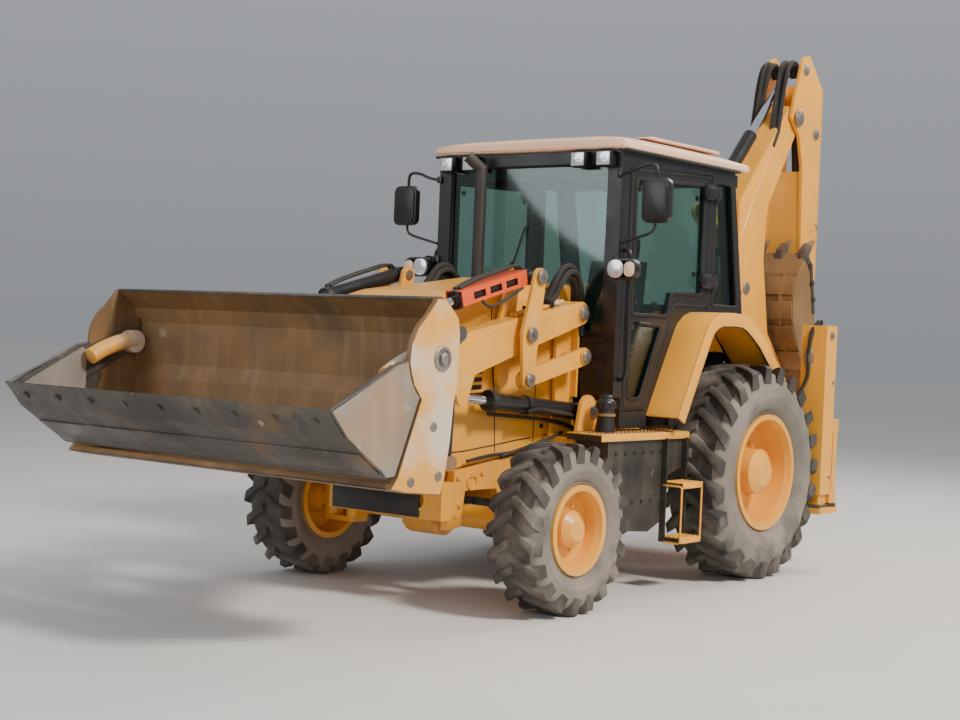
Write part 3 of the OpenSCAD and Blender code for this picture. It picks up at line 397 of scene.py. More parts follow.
class Shape:
    """Collects closed solids for one piece."""

    def __init__(self) -> None:
        """Starts empty."""
        self.mesh = bmesh.new()

    def _loops(self, rings: list[list[Vector]], closed: bool = False) -> None:
        """Skins a row of rings with the same number of points.

        Args:
            rings: The rings, each a list of points in the row frame.
            closed: True if the last ring joins the first.
        """
        made = [[self.mesh.verts.new(p) for p in ring] for ring in rings]
        count = len(made[0])
        pairs = list(zip(made, made[1:])) + ([(made[-1], made[0])] if closed else [])
        for a, b in pairs:
            for k in range(count):
                n = (k + 1) % count
                self.mesh.faces.new((a[k], a[n], b[n], b[k]))
        if not closed:
            self.mesh.faces.new(list(reversed(made[0])))
            self.mesh.faces.new(made[-1])

    def prism(self, profile: list[Flat], y0: float, y1: float) -> "Shape":
        """Adds a plate drawn in the side view.

        Args:
            profile: Points (x, z) in machine millimetres.
            y0: Its right face.
            y1: Its left face.
        Returns:
            This shape.
        """
        self._loops([[row(x, y, z) for x, z in profile] for y in (y0, y1)])
        return self

    def block(self, a: Point, b: Point) -> "Shape":
        """Adds a box between two corners.

        Args:
            a: One corner in machine millimetres.
            b: The opposite corner.
        Returns:
            This shape.
        """
        return self.prism([(a[0], a[2]), (b[0], a[2]), (b[0], b[2]), (a[0], b[2])], a[1], b[1])

    def slab(self, points: list[Point], step: Point) -> "Shape":
        """Adds a plate from an outline and a thickness vector.

        Args:
            points: The outline in machine millimetres.
            step: From one face to the other.
        Returns:
            This shape.
        """
        far = [(p[0] + step[0], p[1] + step[1], p[2] + step[2]) for p in points]
        self._loops([[row(*p) for p in points], [row(*p) for p in far]])
        return self

    def lathe(self, profile: list[Flat], centre: Point, axis: Point, count: int = 24) -> "Shape":
        """Turns a profile about an axis.

        Args:
            profile: Points (radius, distance along the axis) in millimetres, of a closed outline.
            centre: Where distance 0 lies.
            axis: Its direction.
            count: Number of steps round.
        Returns:
            This shape.
        """
        line = Vector(axis).normalized()
        side = line.orthogonal().normalized()
        other = line.cross(side)
        home = row(*centre)
        rings = []
        for k in range(count):
            t = 2 * math.pi * k / count
            out = side * math.cos(t) + other * math.sin(t)
            rings.append([home + (out * r + line * d) / MM for r, d in profile])
        self._loops(rings, True)
        return self

    def rod(self, a: Point, b: Point, r: float, count: int = 12, r2: float | None = None) -> "Shape":
        """Adds a round bar or cone.

        Args:
            a: Its start.
            b: Its end.
            r: Radius at the start.
            count: Sides.
            r2: Radius at the end, the same if None.
        Returns:
            This shape.
        """
        return self.tube([a, b], r, count, r2)

    def tube(self, path: list[Point], r: float, count: int = 10, r2: float | None = None) -> "Shape":
        """Sweeps a circle along a line.

        Args:
            path: The points in machine millimetres.
            r: Radius.
            count: Sides.
            r2: Radius at the end, the same if None.
        Returns:
            This shape.
        """
        line = [row(*p) for p in path]
        last = r if r2 is None else r2
        side = (line[1] - line[0]).orthogonal().normalized()
        rings = []
        for k, p in enumerate(line):
            ahead = (line[min(k + 1, len(line) - 1)] - line[max(k - 1, 0)]).normalized()
            side = (side - ahead * side.dot(ahead)).normalized()
            other = ahead.cross(side)
            size = (r + (last - r) * k / (len(line) - 1)) / MM
            rings.append([p + (side * math.cos(t) + other * math.sin(t)) * size
                          for t in (2 * math.pi * i / count for i in range(count))])
        self._loops(rings)
        return self

    def pipe(self, points: list[Point], side: int, r: float, count: int = 10, steps: int = 8) -> "Shape":
        """Adds a smooth round pipe or hose.

        Args:
            points: What it passes through, drawn on the machine's left in millimetres.
            side: 1 on the left, -1 mirrored to the right.
            r: Radius.
            count: Sides.
            steps: Points added for each span.
        Returns:
            This shape.
        """
        return self.tube(curve_through(mirrored(points, side), steps), r, count)

    def bare(self, name: str, finish: Finish, bevel: float = 0.0) -> bpy.types.Object:
        """Makes the piece, which rides on no body yet.

        Args:
            name: The piece's name.
            finish: Its finish.
            bevel: Width of its rounded edges in millimetres.
        Returns:
            The object.
        """
        bmesh.ops.recalc_face_normals(self.mesh, faces=self.mesh.faces)
        if bevel:
            edges = [e for e in self.mesh.edges if e.is_manifold and e.calc_face_angle(0.0) > 0.6]
            bmesh.ops.bevel(self.mesh, geom=edges, offset=bevel / MM, segments=2, profile=0.5,
                            affect="EDGES", clamp_overlap=True)
        data = bpy.data.meshes.new(name)
        self.mesh.to_mesh(data)
        self.mesh.free()
        data.shade_smooth()
        data.set_sharp_from_angle(angle=CREASE)
        obj = bpy.data.objects.new(name, data)
        bpy.context.scene.collection.objects.link(obj)
        data.materials.append(PAINTBOX.get(finish))
        return obj

    def build(self, name: str, finish: Finish, body: str, bevel: float = 0.0) -> bpy.types.Object:
        """Makes the piece and lets it ride on a body.

        Args:
            name: The piece's name.
            finish: Its finish.
            body: The body it moves with.
            bevel: Width of its rounded edges in millimetres.
        Returns:
            The object.
        """
        obj = self.bare(name, finish, bevel)
        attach(obj, body)
        return obj


def curve_through(points: list[Point], steps: int = 8) -> list[Point]:
    """Rounds a line of points to a smooth path.

    Args:
        points: The points it passes through.
        steps: Points added for each span.
    Returns:
        The path.
    """
    pts = [Vector(p) for p in points]
    ext = [pts[0] * 2 - pts[1]] + pts + [pts[-1] * 2 - pts[-2]]
    path: list[Point] = []
    for k in range(1, len(ext) - 2):
        a, b, c, d = ext[k - 1:k + 3]
        for i in range(steps):
            t = i / steps
            p = 0.5 * (2 * b + (c - a) * t + (2 * a - 5 * b + 4 * c - d) * t * t
                       + (3 * b - a - 3 * c + d) * t ** 3)
            path.append(tuple(p))
    path.append(tuple(pts[-1]))
    return path


class Pattern:
    """Repeats one small piece over many places with Geometry Nodes."""

    GROUP = "repeat_piece"

    @classmethod
    def tree(cls) -> bpy.types.NodeTree:
        """Gives the node group, made at the first call.

        Returns:
            The node group.
        """
        if cls.GROUP in bpy.data.node_groups:
            return bpy.data.node_groups[cls.GROUP]
        tree = bpy.data.node_groups.new(cls.GROUP, "GeometryNodeTree")
        face = tree.interface
        face.new_socket("Places", in_out="INPUT", socket_type="NodeSocketGeometry")
        face.new_socket("Piece", in_out="INPUT", socket_type="NodeSocketObject")
        for name, value in (("Size", 1.0), ("Spread", 0.0)):
            face.new_socket(name, in_out="INPUT", socket_type="NodeSocketFloat").default_value = value
        face.new_socket("Seed", in_out="INPUT", socket_type="NodeSocketInt").default_value = 7
        face.new_socket("Finish", in_out="INPUT", socket_type="NodeSocketMaterial")
        face.new_socket("Pieces", in_out="OUTPUT", socket_type="NodeSocketGeometry")
        add, link = tree.nodes.new, tree.links.new
        start, end = add("NodeGroupInput"), add("NodeGroupOutput")
        info, turn, spin = add("GeometryNodeObjectInfo"), add("GeometryNodeInputNamedAttribute"), add(
            "FunctionNodeEulerToRotation")
        turn.data_type = "FLOAT_VECTOR"
        turn.inputs["Name"].default_value = "turn"
        vary, low, high, grow = (add(k) for k in (
            "FunctionNodeRandomValue", "ShaderNodeMath", "ShaderNodeMath", "ShaderNodeMath"))
        low.operation, high.operation, grow.operation = "SUBTRACT", "ADD", "MULTIPLY"
        low.inputs[0].default_value = high.inputs[0].default_value = 1.0
        place, solid, paint = (add(k) for k in (
            "GeometryNodeInstanceOnPoints", "GeometryNodeRealizeInstances", "GeometryNodeSetMaterial"))
        link(start.outputs["Spread"], low.inputs[1])
        link(start.outputs["Spread"], high.inputs[1])
        link(low.outputs[0], vary.inputs[2])
        link(high.outputs[0], vary.inputs[3])
        link(start.outputs["Seed"], vary.inputs["Seed"])
        link(vary.outputs[1], grow.inputs[0])
        link(start.outputs["Size"], grow.inputs[1])
        link(start.outputs["Piece"], info.inputs["Object"])
        link(turn.outputs["Attribute"], spin.inputs[0])
        link(start.outputs["Places"], place.inputs["Points"])
        link(info.outputs["Geometry"], place.inputs["Instance"])
        link(spin.outputs[0], place.inputs["Rotation"])
        link(grow.outputs[0], place.inputs["Scale"])
        link(place.outputs[0], solid.inputs[0])
        link(solid.outputs[0], paint.inputs["Geometry"])
        link(start.outputs["Finish"], paint.inputs["Material"])
        link(paint.outputs[0], end.inputs[0])
        return tree

    @classmethod
    def spread(cls, name: str, piece: Shape, places: list[tuple[Vector, Matrix]], finish: Finish, body: str,
               spread: float = 0.0, seed: int = 7) -> bpy.types.Object:
        """Copies a piece to many places as one plain mesh.

        Args:
            name: Name of the result.
            piece: The small piece, drawn round machine point (MID_X, 0, 0).
            places: Row-frame place and rotation of each copy.
            finish: Its finish.
            body: The body it moves with.
            spread: Share by which the copies' sizes differ.
            seed: Seed of that difference.
        Returns:
            The object.
        """
        source = piece.bare(name + "_one", finish)
        data = bpy.data.meshes.new(name + "_places")
        data.from_pydata([tuple(p) for p, _ in places], [], [])
        turn = data.attributes.new("turn", "FLOAT_VECTOR", "POINT")
        turn.data.foreach_set("vector", [c for _, m in places for c in m.to_euler("XYZ")])
        obj = bpy.data.objects.new(name, data)
        bpy.context.scene.collection.objects.link(obj)
        tree = cls.tree()
        modifier = obj.modifiers.new("repeat", "NODES")
        modifier.node_group = tree
        values = {"Piece": source, "Size": 1.0, "Spread": spread, "Seed": seed,
                  "Finish": PAINTBOX.get(finish)}
        for socket in tree.interface.items_tree:
            if socket.name in values:
                modifier[socket.identifier] = values[socket.name]
        bpy.context.view_layer.update()
        graph = bpy.context.evaluated_depsgraph_get()
        mesh = bpy.data.meshes.new_from_object(obj.evaluated_get(graph))
        obj.modifiers.clear()
        obj.data = mesh
        mesh.shade_smooth()
        mesh.set_sharp_from_angle(angle=CREASE)
        bpy.data.objects.remove(source)
        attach(obj, body)
        return obj


def rounded(centre: Point, across: Point, up: Point, r: float) -> list[Point]:
    """Outline of a rectangle with round corners.

    Args:
        centre: Its middle in machine millimetres.
        across: Half of its width as a vector.
        up: Half of its height as a vector.
        r: Radius of its corners.
    Returns:
        The outline.
    """
    c, a, b = Vector(centre), Vector(across), Vector(up)
    da, db = a.normalized() * r, b.normalized() * r
    points = []
    for k, (i, j) in enumerate(((1, 1), (-1, 1), (-1, -1), (1, -1))):
        home = c + (a - da) * i + (b - db) * j
        for step in range(5):
            t = math.pi / 2 * (k + step / 4)
            points.append(tuple(home + da * math.cos(t) + db * math.sin(t)))
    return points


def facing(axis: Point) -> Matrix:
    """Rotation that turns +Z to an axis.

    Args:
        axis: The direction.
    Returns:
        The rotation.
    """
    return Vector((0, 0, 1)).rotation_difference(Vector(axis)).to_matrix()


def bolt(r: float, head: float) -> Shape:
    """A hexagon bolt head on a washer, standing on the origin along +Z.

    Args:
        r: Radius over its corners.
        head: Height of the head.
    Returns:
        The shape.
    """
    shape = Shape()
    shape.rod((MID_X, 0, -1), (MID_X, 0, 3), r * 1.35, 14)
    shape.rod((MID_X, 0, 2), (MID_X, 0, 2 + head), r, 6)
    return shape


def bolts(name: str, places: list[Point], axis: Point, r: float, finish: Finish, body: str,
          head: float = 9.0) -> bpy.types.Object:
    """Sets bolt heads at many places.

    Args:
        name: Name of the piece.
        places: Where they sit, in machine millimetres.
        axis: Where they point.
        r: Radius over the corners.
        finish: Their finish.
        body: The body they are on.
        head: Height of the heads.
    Returns:
        The object.
    """
    turn = facing(axis)
    return Pattern.spread(name, bolt(r, head), [(row(*p), turn) for p in places], finish, body)


@dataclass(frozen=True)
class WheelSize:
    """Sizes of one wheel pair, in millimetres.

    Attributes:
        x: Place of its axle ahead of the rear axle.
        y: Middle of the tyre from the machine's middle.
        r: Radius over the lugs, which is the axle's height too.
        width: Width of the tyre.
        rim_r: Radius of the rim.
        lugs: Number of lugs on each half of the tread.
        lug: Height of a lug.
        lean: Forward sweep of a lug over its width.
        dish: How far outside the tyre's middle the rim's disc lies.
        nuts: Number of wheel nuts.
    """

    x: float
    y: float
    r: float
    width: float
    rim_r: float
    lugs: int
    lug: float
    lean: float
    dish: float
    nuts: int


FRONT_WHEEL = WheelSize(x=2200, y=947.5, r=478, width=318, rim_r=254, lugs=19, lug=30, lean=0.62, dish=30,
                        nuts=8)
REAR_WHEEL = WheelSize(x=0, y=857, r=706, width=424, rim_r=384, lugs=23, lug=42, lean=0.72, dish=-10, nuts=10)
TYRE_STEPS = 88


class Wheel:
    """A tyre with its tread and chevron lugs, and the nuts of its rim."""

    def __init__(self, name: str, side: int, size: WheelSize) -> None:
        """Sets the wheel up.

        Args:
            name: front_left and so on, as in the CAD nodes.
            side: 1 on the left, -1 on the right.
            size: Its sizes.
        """
        self.name = name
        self.side = side
        self.size = size
        self.body = f"wheel_{name}"
        self.centre = (size.x, side * size.y, size.r)

    def _carcass(self) -> bpy.types.Object:
        """Turns the tyre's casing.

        Returns:
            The piece that stands for the CAD tyre.
        """
        s = self.size
        base, bead, half = s.r - s.lug, s.width * 0.40, s.width / 2
        rows = [(s.rim_r - 20, -bead + 2), (s.rim_r - 20, bead - 2), (s.rim_r + 3, bead - 1),
                (s.rim_r + 8, bead + 5), (s.rim_r + 16, bead + 3), (s.rim_r + 22, bead + 9)]
        wall = [(0.18, 0.955), (0.34, 0.985), (0.36, 0.996), (0.40, 0.998), (0.42, 0.99), (0.56, 0.994),
                (0.72, 0.97), (0.86, 0.90), (0.95, 0.80), (1.0, 0.62)]
        rows += [(s.rim_r + 14 + t * (base - s.rim_r - 14), half * k) for t, k in wall]
        rows += [(base + 4, half * 0.3), (base + 5, 0.0)]
        inner = [(r, -d) for r, d in reversed(rows[2:-1])]
        tread = [(base - 6, half * 0.74), (base + 4, half * 0.60), (base + 7.5, half * 0.3),
                 (base + 8.5, 0.0)]
        Shape().lathe(tread + [(r, -d) for r, d in reversed(tread[:-1])], self.centre, (0, 1, 0),
                      TYRE_STEPS).build(f"tyre_tread_{self.name}", RUBBER, self.body)
        obj = Shape().lathe(rows + inner, self.centre, (0, 1, 0), TYRE_STEPS).build(
            f"tyre_casing_{self.name}", WALL_RUBBER, self.body)
        return obj

    def _lug(self) -> Shape:
        """Draws one lug of the outer half, with its root near the middle of the tread.

        Returns:
            The lug, with +Z out along the radius and +Y across the tread.
        """
        s = self.size
        half, high = s.width / 2, s.lug
        shape = Shape()
        # Stations across the tread: (y, forward sweep, height of the top, length of the top, of the foot,
        # sink into the casing)
        stations = [(-0.05, -0.30, 1.0, 0.9, 1.35, 12), (0.12, -0.20, 1.0, 1.0, 1.45, 12),
                    (0.38, 0.06, 1.0, 1.0, 1.5, 14), (0.66, 0.38, 0.97, 1.05, 1.55, 20),
                    (0.88, 0.62, 0.86, 1.15, 1.6, 34), (0.985, 0.74, 0.50, 1.2, 1.6, 60),
                    (0.992, 0.78, -0.30, 1.15, 1.5, 80)]
        width = 2 * math.pi * s.r / s.lugs * 0.155
        rings = []
        for y, sweep, top, long_top, long_foot, sink in stations:
            x = sweep * half * s.lean
            z = high * top
            foot = min(-sink, z - 22)
            rings.append([Vector((x + dx * width, y * half, dz)) / MM for dx, dz in (
                (-long_foot, foot), (-long_top, z - 3), (-long_top + 0.18, z), (long_top - 0.18, z),
                (long_top, z - 3), (long_foot, foot))])
        shape._loops(rings)
        return shape

    def _lugs(self) -> None:
        """Sets the lugs round both halves of the tread, half a step apart."""
        s = self.size
        home = row(*self.centre)
        base = (s.r - s.lug - 1) / MM
        for half, name, start in ((1, "out", 0.0), (-1, "in", 0.5)):
            places = []
            for k in range(s.lugs):
                t = 2 * math.pi * (k + start) / s.lugs
                out = Vector((math.cos(t), 0, math.sin(t)))
                around = Vector((math.sin(t), 0, -math.cos(t))) * half
                places.append((home + out * base, Matrix((around, Vector((0, half, 0)), out)).transposed()))
            lug = self._lug()
            bmesh.ops.scale(lug.mesh, vec=(half, 1, 1), verts=lug.mesh.verts)
            Pattern.spread(f"tyre_lugs_{name}_{self.name}", lug, places, RUBBER, self.body)

    def _nuts(self) -> None:
        """Sets the wheel nuts."""
        s = self.size
        x, y, z = self.centre
        face, ring = y + self.side * (s.dish + 3), s.rim_r * 0.52
        turns = [2 * math.pi * (k + 0.5) / s.nuts for k in range(s.nuts)]
        places = [(x + ring * math.cos(t), face, z + ring * math.sin(t)) for t in turns]
        bolts(f"wheel_nuts_{self.name}", places, (0, self.side, 0), 13, RIM_PAINT, self.body, 15)

    def make(self) -> None:
        """Makes the wheel's pieces."""
        casing = self._carcass()
        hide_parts(f"tyre_{self.name}")
        self._lugs()
        self._nuts()


def mirrored(points: list[Point], side: int) -> list[Point]:
    """Puts points on one side of the machine.

    Args:
        points: Points drawn on the left.
        side: 1 keeps them, -1 mirrors them.
    Returns:
        The points.
    """
    return [(x, side * y, z) for x, y, z in points]


@dataclass
class Cab:
    """Seals, glass trim, wiper, mirrors, lamps, handles, roof and what shows inside."""

    half: float = 720.0
    window: list[Flat] = field(default_factory=lambda: [
        (1215, 1700), (1215, 2540), (400, 2570), (400, 1855), (760, 1855), (800, 1700)])
    low_window: list[Flat] = field(default_factory=lambda: [(1225, 1180), (1225, 1640), (870, 1640),
        (1085, 1180)])
    quarter: list[Flat] = field(default_factory=lambda: [(262, 1790), (262, 2610), (62, 2610), (-80, 1790)])

    def _ring(self, name: str, outline: list[Flat], y: float, r: float, body: str) -> None:
        """Runs a rubber seal round an opening of a side wall.

        Args:
            name: The piece's name.
            outline: The opening in the side view.
            y: Its place across the machine.
            r: Radius of the seal.
            body: The body it is on.
        """
        pts = [Vector((x, z)) for x, z in outline]
        path = []
        for k, p in enumerate(pts):
            back = (pts[k - 1] - p).normalized() * 38
            on = (pts[(k + 1) % len(pts)] - p).normalized() * 38
            for t in (0.0, 0.25, 0.5, 0.75, 1.0):
                q = (p + back) * (1 - t) ** 2 + p * 2 * t * (1 - t) + (p + on) * t * t
                path.append((q.x, y, q.y))
        shape = Shape()
        line = [row(*p) for p in path]
        rings = []
        for k, p in enumerate(line):
            ahead = (line[(k + 1) % len(line)] - line[k - 1]).normalized()
            across = Vector((0, 1, 0))
            other = ahead.cross(across).normalized()
            rings.append([p + (across * math.cos(t) * 0.55 + other * math.sin(t)) * r / MM
                          for t in (2 * math.pi * i / 8 for i in range(8))])
        shape._loops(rings, True)
        shape.build(name, GASKET, body)

    def _doors(self) -> None:
        """Adds seals, handles and hinge caps to the doors."""
        outline = [(1285, 1110), (1285, 2600), (320, 2640), (320, 1775), (720, 1775), (775, 1660),
                   (1045, 1110)]
        for s, side in SIDES.items():
            body = f"door_{side}"
            inset = [(x + (550 - x) * 0.022 + (6 if x < 800 else -6), z + (2000 - z) * 0.02) for x,
                     z in outline]
            self._ring(f"door_seal_{side}", inset, s * self.half, 11, body)
            self._ring(f"door_pane_seal_{side}", self.window, s * (self.half + 1), 14, body)
            self._ring(f"door_low_pane_seal_{side}", self.low_window, s * (self.half + 1), 12, body)
            self._ring(f"quarter_seal_{side}", self.quarter, s * (self.half - 1), 14, "chassis")
            handle = Shape()
            handle.block((1190, s * 718, 1608), (1268, s * 730, 1668))
            handle.tube(mirrored([(1180, 724, 1650), (1172, 752, 1650), (1120, 758, 1648), (1060, 750, 1645),
                                  (1052, 724, 1644)], s), 11)
            handle.build(f"door_handle_{side}", BLACK, body, 3)
            caps = Shape()
            for z in (1945, 2525):
                caps.slab(rounded((346, s * 722, z + 4), (104, 0, 0), (0, 0, 48), 44), (0, s * 34, 0))
                caps.slab(rounded((346, s * 754, z + 4), (84, 0, 0), (0, 0, 34), 32), (0, s * 10, 0))
            caps.build(f"hinge_covers_{side}", BLACK, body, 8)
            knob = Shape()
            for x, z in ((470, 2480), (470, 1990), (1150, 2480), (1160, 1780)):
                knob.rod((x, s * 698, z), (x, s * 712, z), 17, 16)
            knob.build(f"pane_buttons_{side}", BLACK, body, 2)

    def _front(self) -> None:
        """Adds the windscreen seal, wiper, wash pipe and cowl vents."""
        path = [(1366, y, z) for y, z in ((-618, 1562), (618, 1562), (618, 2618), (-618, 2618))]
        frame = Shape()
        for a, b in zip(path, path[1:] + path[:1]):
            frame.rod(a, b, 11, 8)
        frame.build("windscreen_seal", GASKET, "chassis")
        wiper = Shape()
        wiper.rod((1362, -330, 1590), (1392, -330, 1590), 20, 16)
        wiper.tube([(1386, -330, 1590), (1392, -250, 1750), (1384, -90, 2010)], 7, 8)
        wiper.tube([(1386, -318, 1596), (1392, -236, 1752), (1384, -82, 2004)], 5, 8)
        wiper.slab([(1370, -170, 1800), (1370, -156, 1806), (1370, 0, 2236), (1370, -14, 2230)], (10, 0, 0))
        wiper.build("front_wiper", BLACK, "chassis")
        sheet = Shape()
        for s in SIDES:
            for z in range(1290, 1530, 34):
                sheet.block((1386, s * 420, z), (1392, s * 640, z + 16))
        sheet.build("front_wall_ribs", BLACK, "chassis", 2)

    def _fittings(self) -> None:
        """Replaces the plain mirrors, lamps and rails by rounded ones."""
        frame, lenses, amber, heads, glass = Shape(), Shape(), Shape(), Shape(), Shape()
        for s in SIDES:
            frame.pipe([(1384, 722, 2545), (1400, 800, 2562), (1402, 880, 2590), (1400, 950, 2596),
                        (1398, 978, 2570), (1397, 982, 2500), (1397, 982, 2440)], s, 10)
            frame.pipe([(1397, 982, 2270), (1398, 975, 2215), (1398, 940, 2185), (1396, 850, 2160),
                        (1386, 722, 2128)], s, 9)
            frame.pipe([(1330, 718, 2086), (1332, 752, 2090), (1332, 772, 2060), (1332, 774, 1980),
                        (1332, 774, 1700), (1330, 774, 1400), (1330, 770, 1330), (1330, 750, 1302),
                        (1326, 718, 1300)], s, 13, 12, 6)
            frame.pipe([(1384, 716, 2010), (1396, 760, 2034), (1412, 792, 2030), (1424, 806, 2000)], s, 12)
            heads.slab(rounded((1376, s * 990, 2380), (0, s * 98, 0), (0, 0, 132), 44), (44, 0, 0))
            heads.slab(rounded((1418, s * 990, 2380), (0, s * 84, 0), (0, 0, 118), 44), (12, 0, 0))
            glass.slab(rounded((1371, s * 990, 2380), (0, s * 84, 0), (0, 0, 118), 36), (5, 0, 0))
            for depth, wide, high in ((0, 0.62, 0.62), (14, 0.86, 0.86), (30, 1.0, 1.0)):
                heads.slab(rounded((1392 + depth, s * 810, 1968), (0, s * 104 * wide, 0), (0, 0, 64 * high),
                                   52 * high), (96 - depth, 0, 0))
            lenses.slab(rounded((1487, s * 772, 1968), (0, s * 56, 0), (0, 0, 54), 46), (9, 0, 0))
            amber.slab(rounded((1487, s * 870, 1966), (0, s * 36, 0), (0, 0, 44), 30), (7, 0, 0))
            for y in (430, 620):
                heads.block((1386, s * (y - 56), 2592), (1448, s * (y + 56), 2690))
                heads.block((-98, s * (y - 56), 2604), (-40, s * (y + 56), 2690))
                lenses.block((1447, s * (y - 47), 2601), (1453, s * (y + 47), 2681))
                lenses.block((-103, s * (y - 47), 2612), (-97, s * (y + 47), 2682))
                for dy in (-15, 15):
                    glass.rod((1451, s * (y + dy), 2641), (1456, s * (y + dy), 2641), 13, 16)
            heads.block((1384, s * 690, 1940), (1402, s * 738, 2050))
            heads.block((1384, s * 694, 2525), (1402, s * 734, 2570))
        piece = frame.build("mirror_arms_and_rails", BLACK, "chassis")
        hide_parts("cab_fittings")
        heads.build("mirror_and_lamp_shells", BLACK, "chassis", 11)
        lenses.build("lamp_lenses", LENS, "chassis", 3)
        amber.build("side_indicator_lenses", CREAM, "chassis", 2)
        glass.build("mirror_glass", LENS, "chassis", 2)

    def _roof(self) -> None:
        """Replaces the roof by a rounded one with raised ribs and a gutter."""
        shape = Shape()
        rings = []
        for x, top in ((-110, 2724), (-104, 2766), (-60, 2796), (20, 2814), (560, 2822), (1040, 2822),
                       (1150, 2812), (1330, 2790), (1404, 2762), (1424, 2726)):
            low, edge = (2706 if x in (-110, 1424) else 2702), min(top, 2758)
            half = 752 if -110 < x < 1424 else 738
            profile = [(half - 12, low), (half, low + 10), (half, edge - 14), (half - 16, edge),
                       (half - 130, (edge + top) / 2 + 8), (half - 260, top), (0, top + 3)]
            rings.append([row(x, y, z) for y, z in profile] + [row(x, -y, z) for y, z in profile[-2::-1]])
        shape._loops(rings)
        roof = shape.build("roof_shell", ROOF, "chassis", 8)
        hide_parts("cab_roof")
        ribs = Shape()
        for y in (-560, -300, 300, 560):
            ribs.prism([(40, 2818), (90, 2836), (900, 2836), (980, 2818)], y - 60, y + 60)
        ribs.build("roof_ribs", ROOF, "chassis", 8)
        gutter = Shape()
        for s in SIDES:
            gutter.prism([(10, 2688), (1396, 2688), (1396, 2704), (10, 2704)], s * 700, s * 758)
        gutter.build("roof_gutter", BLACK, "chassis", 4)

    def _inside(self) -> None:
        """Adds the levers, console, pedals and lining seen through the glass."""
        inner = Shape()
        inner.prism([(1010, 1090), (1240, 1090), (1240, 1560), (1180, 1600), (1010, 1480)], 300, 540)
        inner.prism([(1120, 1480), (1250, 1480), (1250, 1640), (1180, 1650)], -280, 280)
        inner.prism([(330, 1090), (760, 1090), (760, 1470), (700, 1530), (330, 1530)], -540, -330)
        inner.prism([(-30, 1410), (180, 1410), (180, 1520), (-10, 1600)], -420, 420)
        for x, y in ((1010, 120), (1010, -20), (1010, -150)):
            inner.block((x, y, 1120), (x + 20, y + 80, 1200))
        inner.build("cab_consoles", CABIN, "chassis", 14)
        sticks = Shape()
        for x, y, lean in ((640, -440, 20), (560, -400, -10), (1080, 420, -30), (1000, 470, -20),
                           (40, 150, 20), (40, -150, 20), (90, 60, 10), (90, -60, 10)):
            low = 1500 if x > 200 else 1560
            sticks.tube([(x, y, low), (x + lean * 0.4, y, low + 120), (x + lean, y, low + 210)], 8, 8)
            sticks.lathe([(0, -28), (20, -22), (26, 0), (20, 24), (0, 30)], (x + lean, y, low + 225),
                         (0, 0, 1), 12)
        sticks.build("control_levers", CABIN, "chassis")
        lining = Shape()
        lining.block((-40, -640, 2655), (1330, 640, 2668))
        lining.prism([(1180, 2560), (1330, 2540), (1330, 2650), (1180, 2650)], -560, 560)
        lining.build("roof_lining", CABIN, "chassis", 8)

    def make(self) -> None:
        """Makes the cab's pieces."""
        self._doors()
        self._front()
        self._fittings()
        self._roof()
        self._inside()


class Seat:
    """The padded driver's seat with its bellows and arm rests."""

    def make(self) -> None:
        """Makes the seat."""
        self._cushion("seat_base_cushion", (588, 0, 1476), (208, 240, 62), 0.0)
        self._cushion("seat_back_cushion", (345, 0, 1800), (60, 225, 290), 0.17)
        self._cushion("seat_head_cushion", (275, 0, 2160), (46, 140, 78), 0.12)
        shell = Shape()
        shell.prism([(380, 1405), (780, 1405), (790, 1425), (390, 1430)], -225, 225)
        shell.prism([(396, 1430), (300, 2060), (275, 2060), (366, 1430)], -200, 200)
        shell.block((430, -180, 1092), (740, 180, 1150))
        for s in SIDES:
            shell.tube(mirrored([(372, 255, 1660), (560, 262, 1680), (680, 262, 1680)], s), 26, 10)
        base = shell.build("seat_shell", CABIN, "chassis", 8)
        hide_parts("seat")
        bellows = Shape()
        for k in range(7):
            z = 1150 + k * 37
            wide = 150 if k % 2 else 172
            bellows.block((585 - wide, -wide, z), (585 + wide, wide, z + 38))
        bellows.build("seat_bellows", GASKET, "chassis", 9)

    def _cushion(self, name: str, centre: Point, half: Point, lean: float) -> None:
        """Makes one stuffed cushion with a welt and sewn channels.

        Args:
            name: Its name.
            centre: Its middle in machine millimetres.
            half: Half sizes.
            lean: How far it leans back over its height.
        """
        mesh = bmesh.new()
        bmesh.ops.create_cube(mesh, size=2.0)
        bmesh.ops.subdivide_edges(mesh, edges=mesh.edges, cuts=17, use_grid_fill=True)
        thin = half.index(min(half))
        wide = [k for k in range(3) if k != thin]
        for v in mesh.verts:
            p = list(v.co)
            u, w = p[wide[0]], p[wide[1]]
            swell = (1 - abs(u) ** 5) * (1 - abs(w) ** 5)
            seam = sum(math.exp(-((w - c) / 0.055) ** 2) for c in (-0.42, 0.42))
            seam += math.exp(-((u - 0.1) / 0.06) ** 2)
            bulge = 0.42 + 0.58 * swell ** 0.45 - 0.20 * seam * swell
            pinch = 1 - 0.05 * abs(u * w) - 0.03 * (1 - abs(p[thin]))
            q = [0.0, 0.0, 0.0]
            q[thin] = p[thin] * bulge * half[thin]
            for k in wide:
                q[k] = p[k] * pinch * half[k]
            v.co = row(centre[0] + q[0] - lean * q[2], centre[1] + q[1], centre[2] + q[2])
        shape = Shape()
        shape.mesh.free()
        shape.mesh = mesh
        obj = shape.build(name, CUSHION, "chassis")


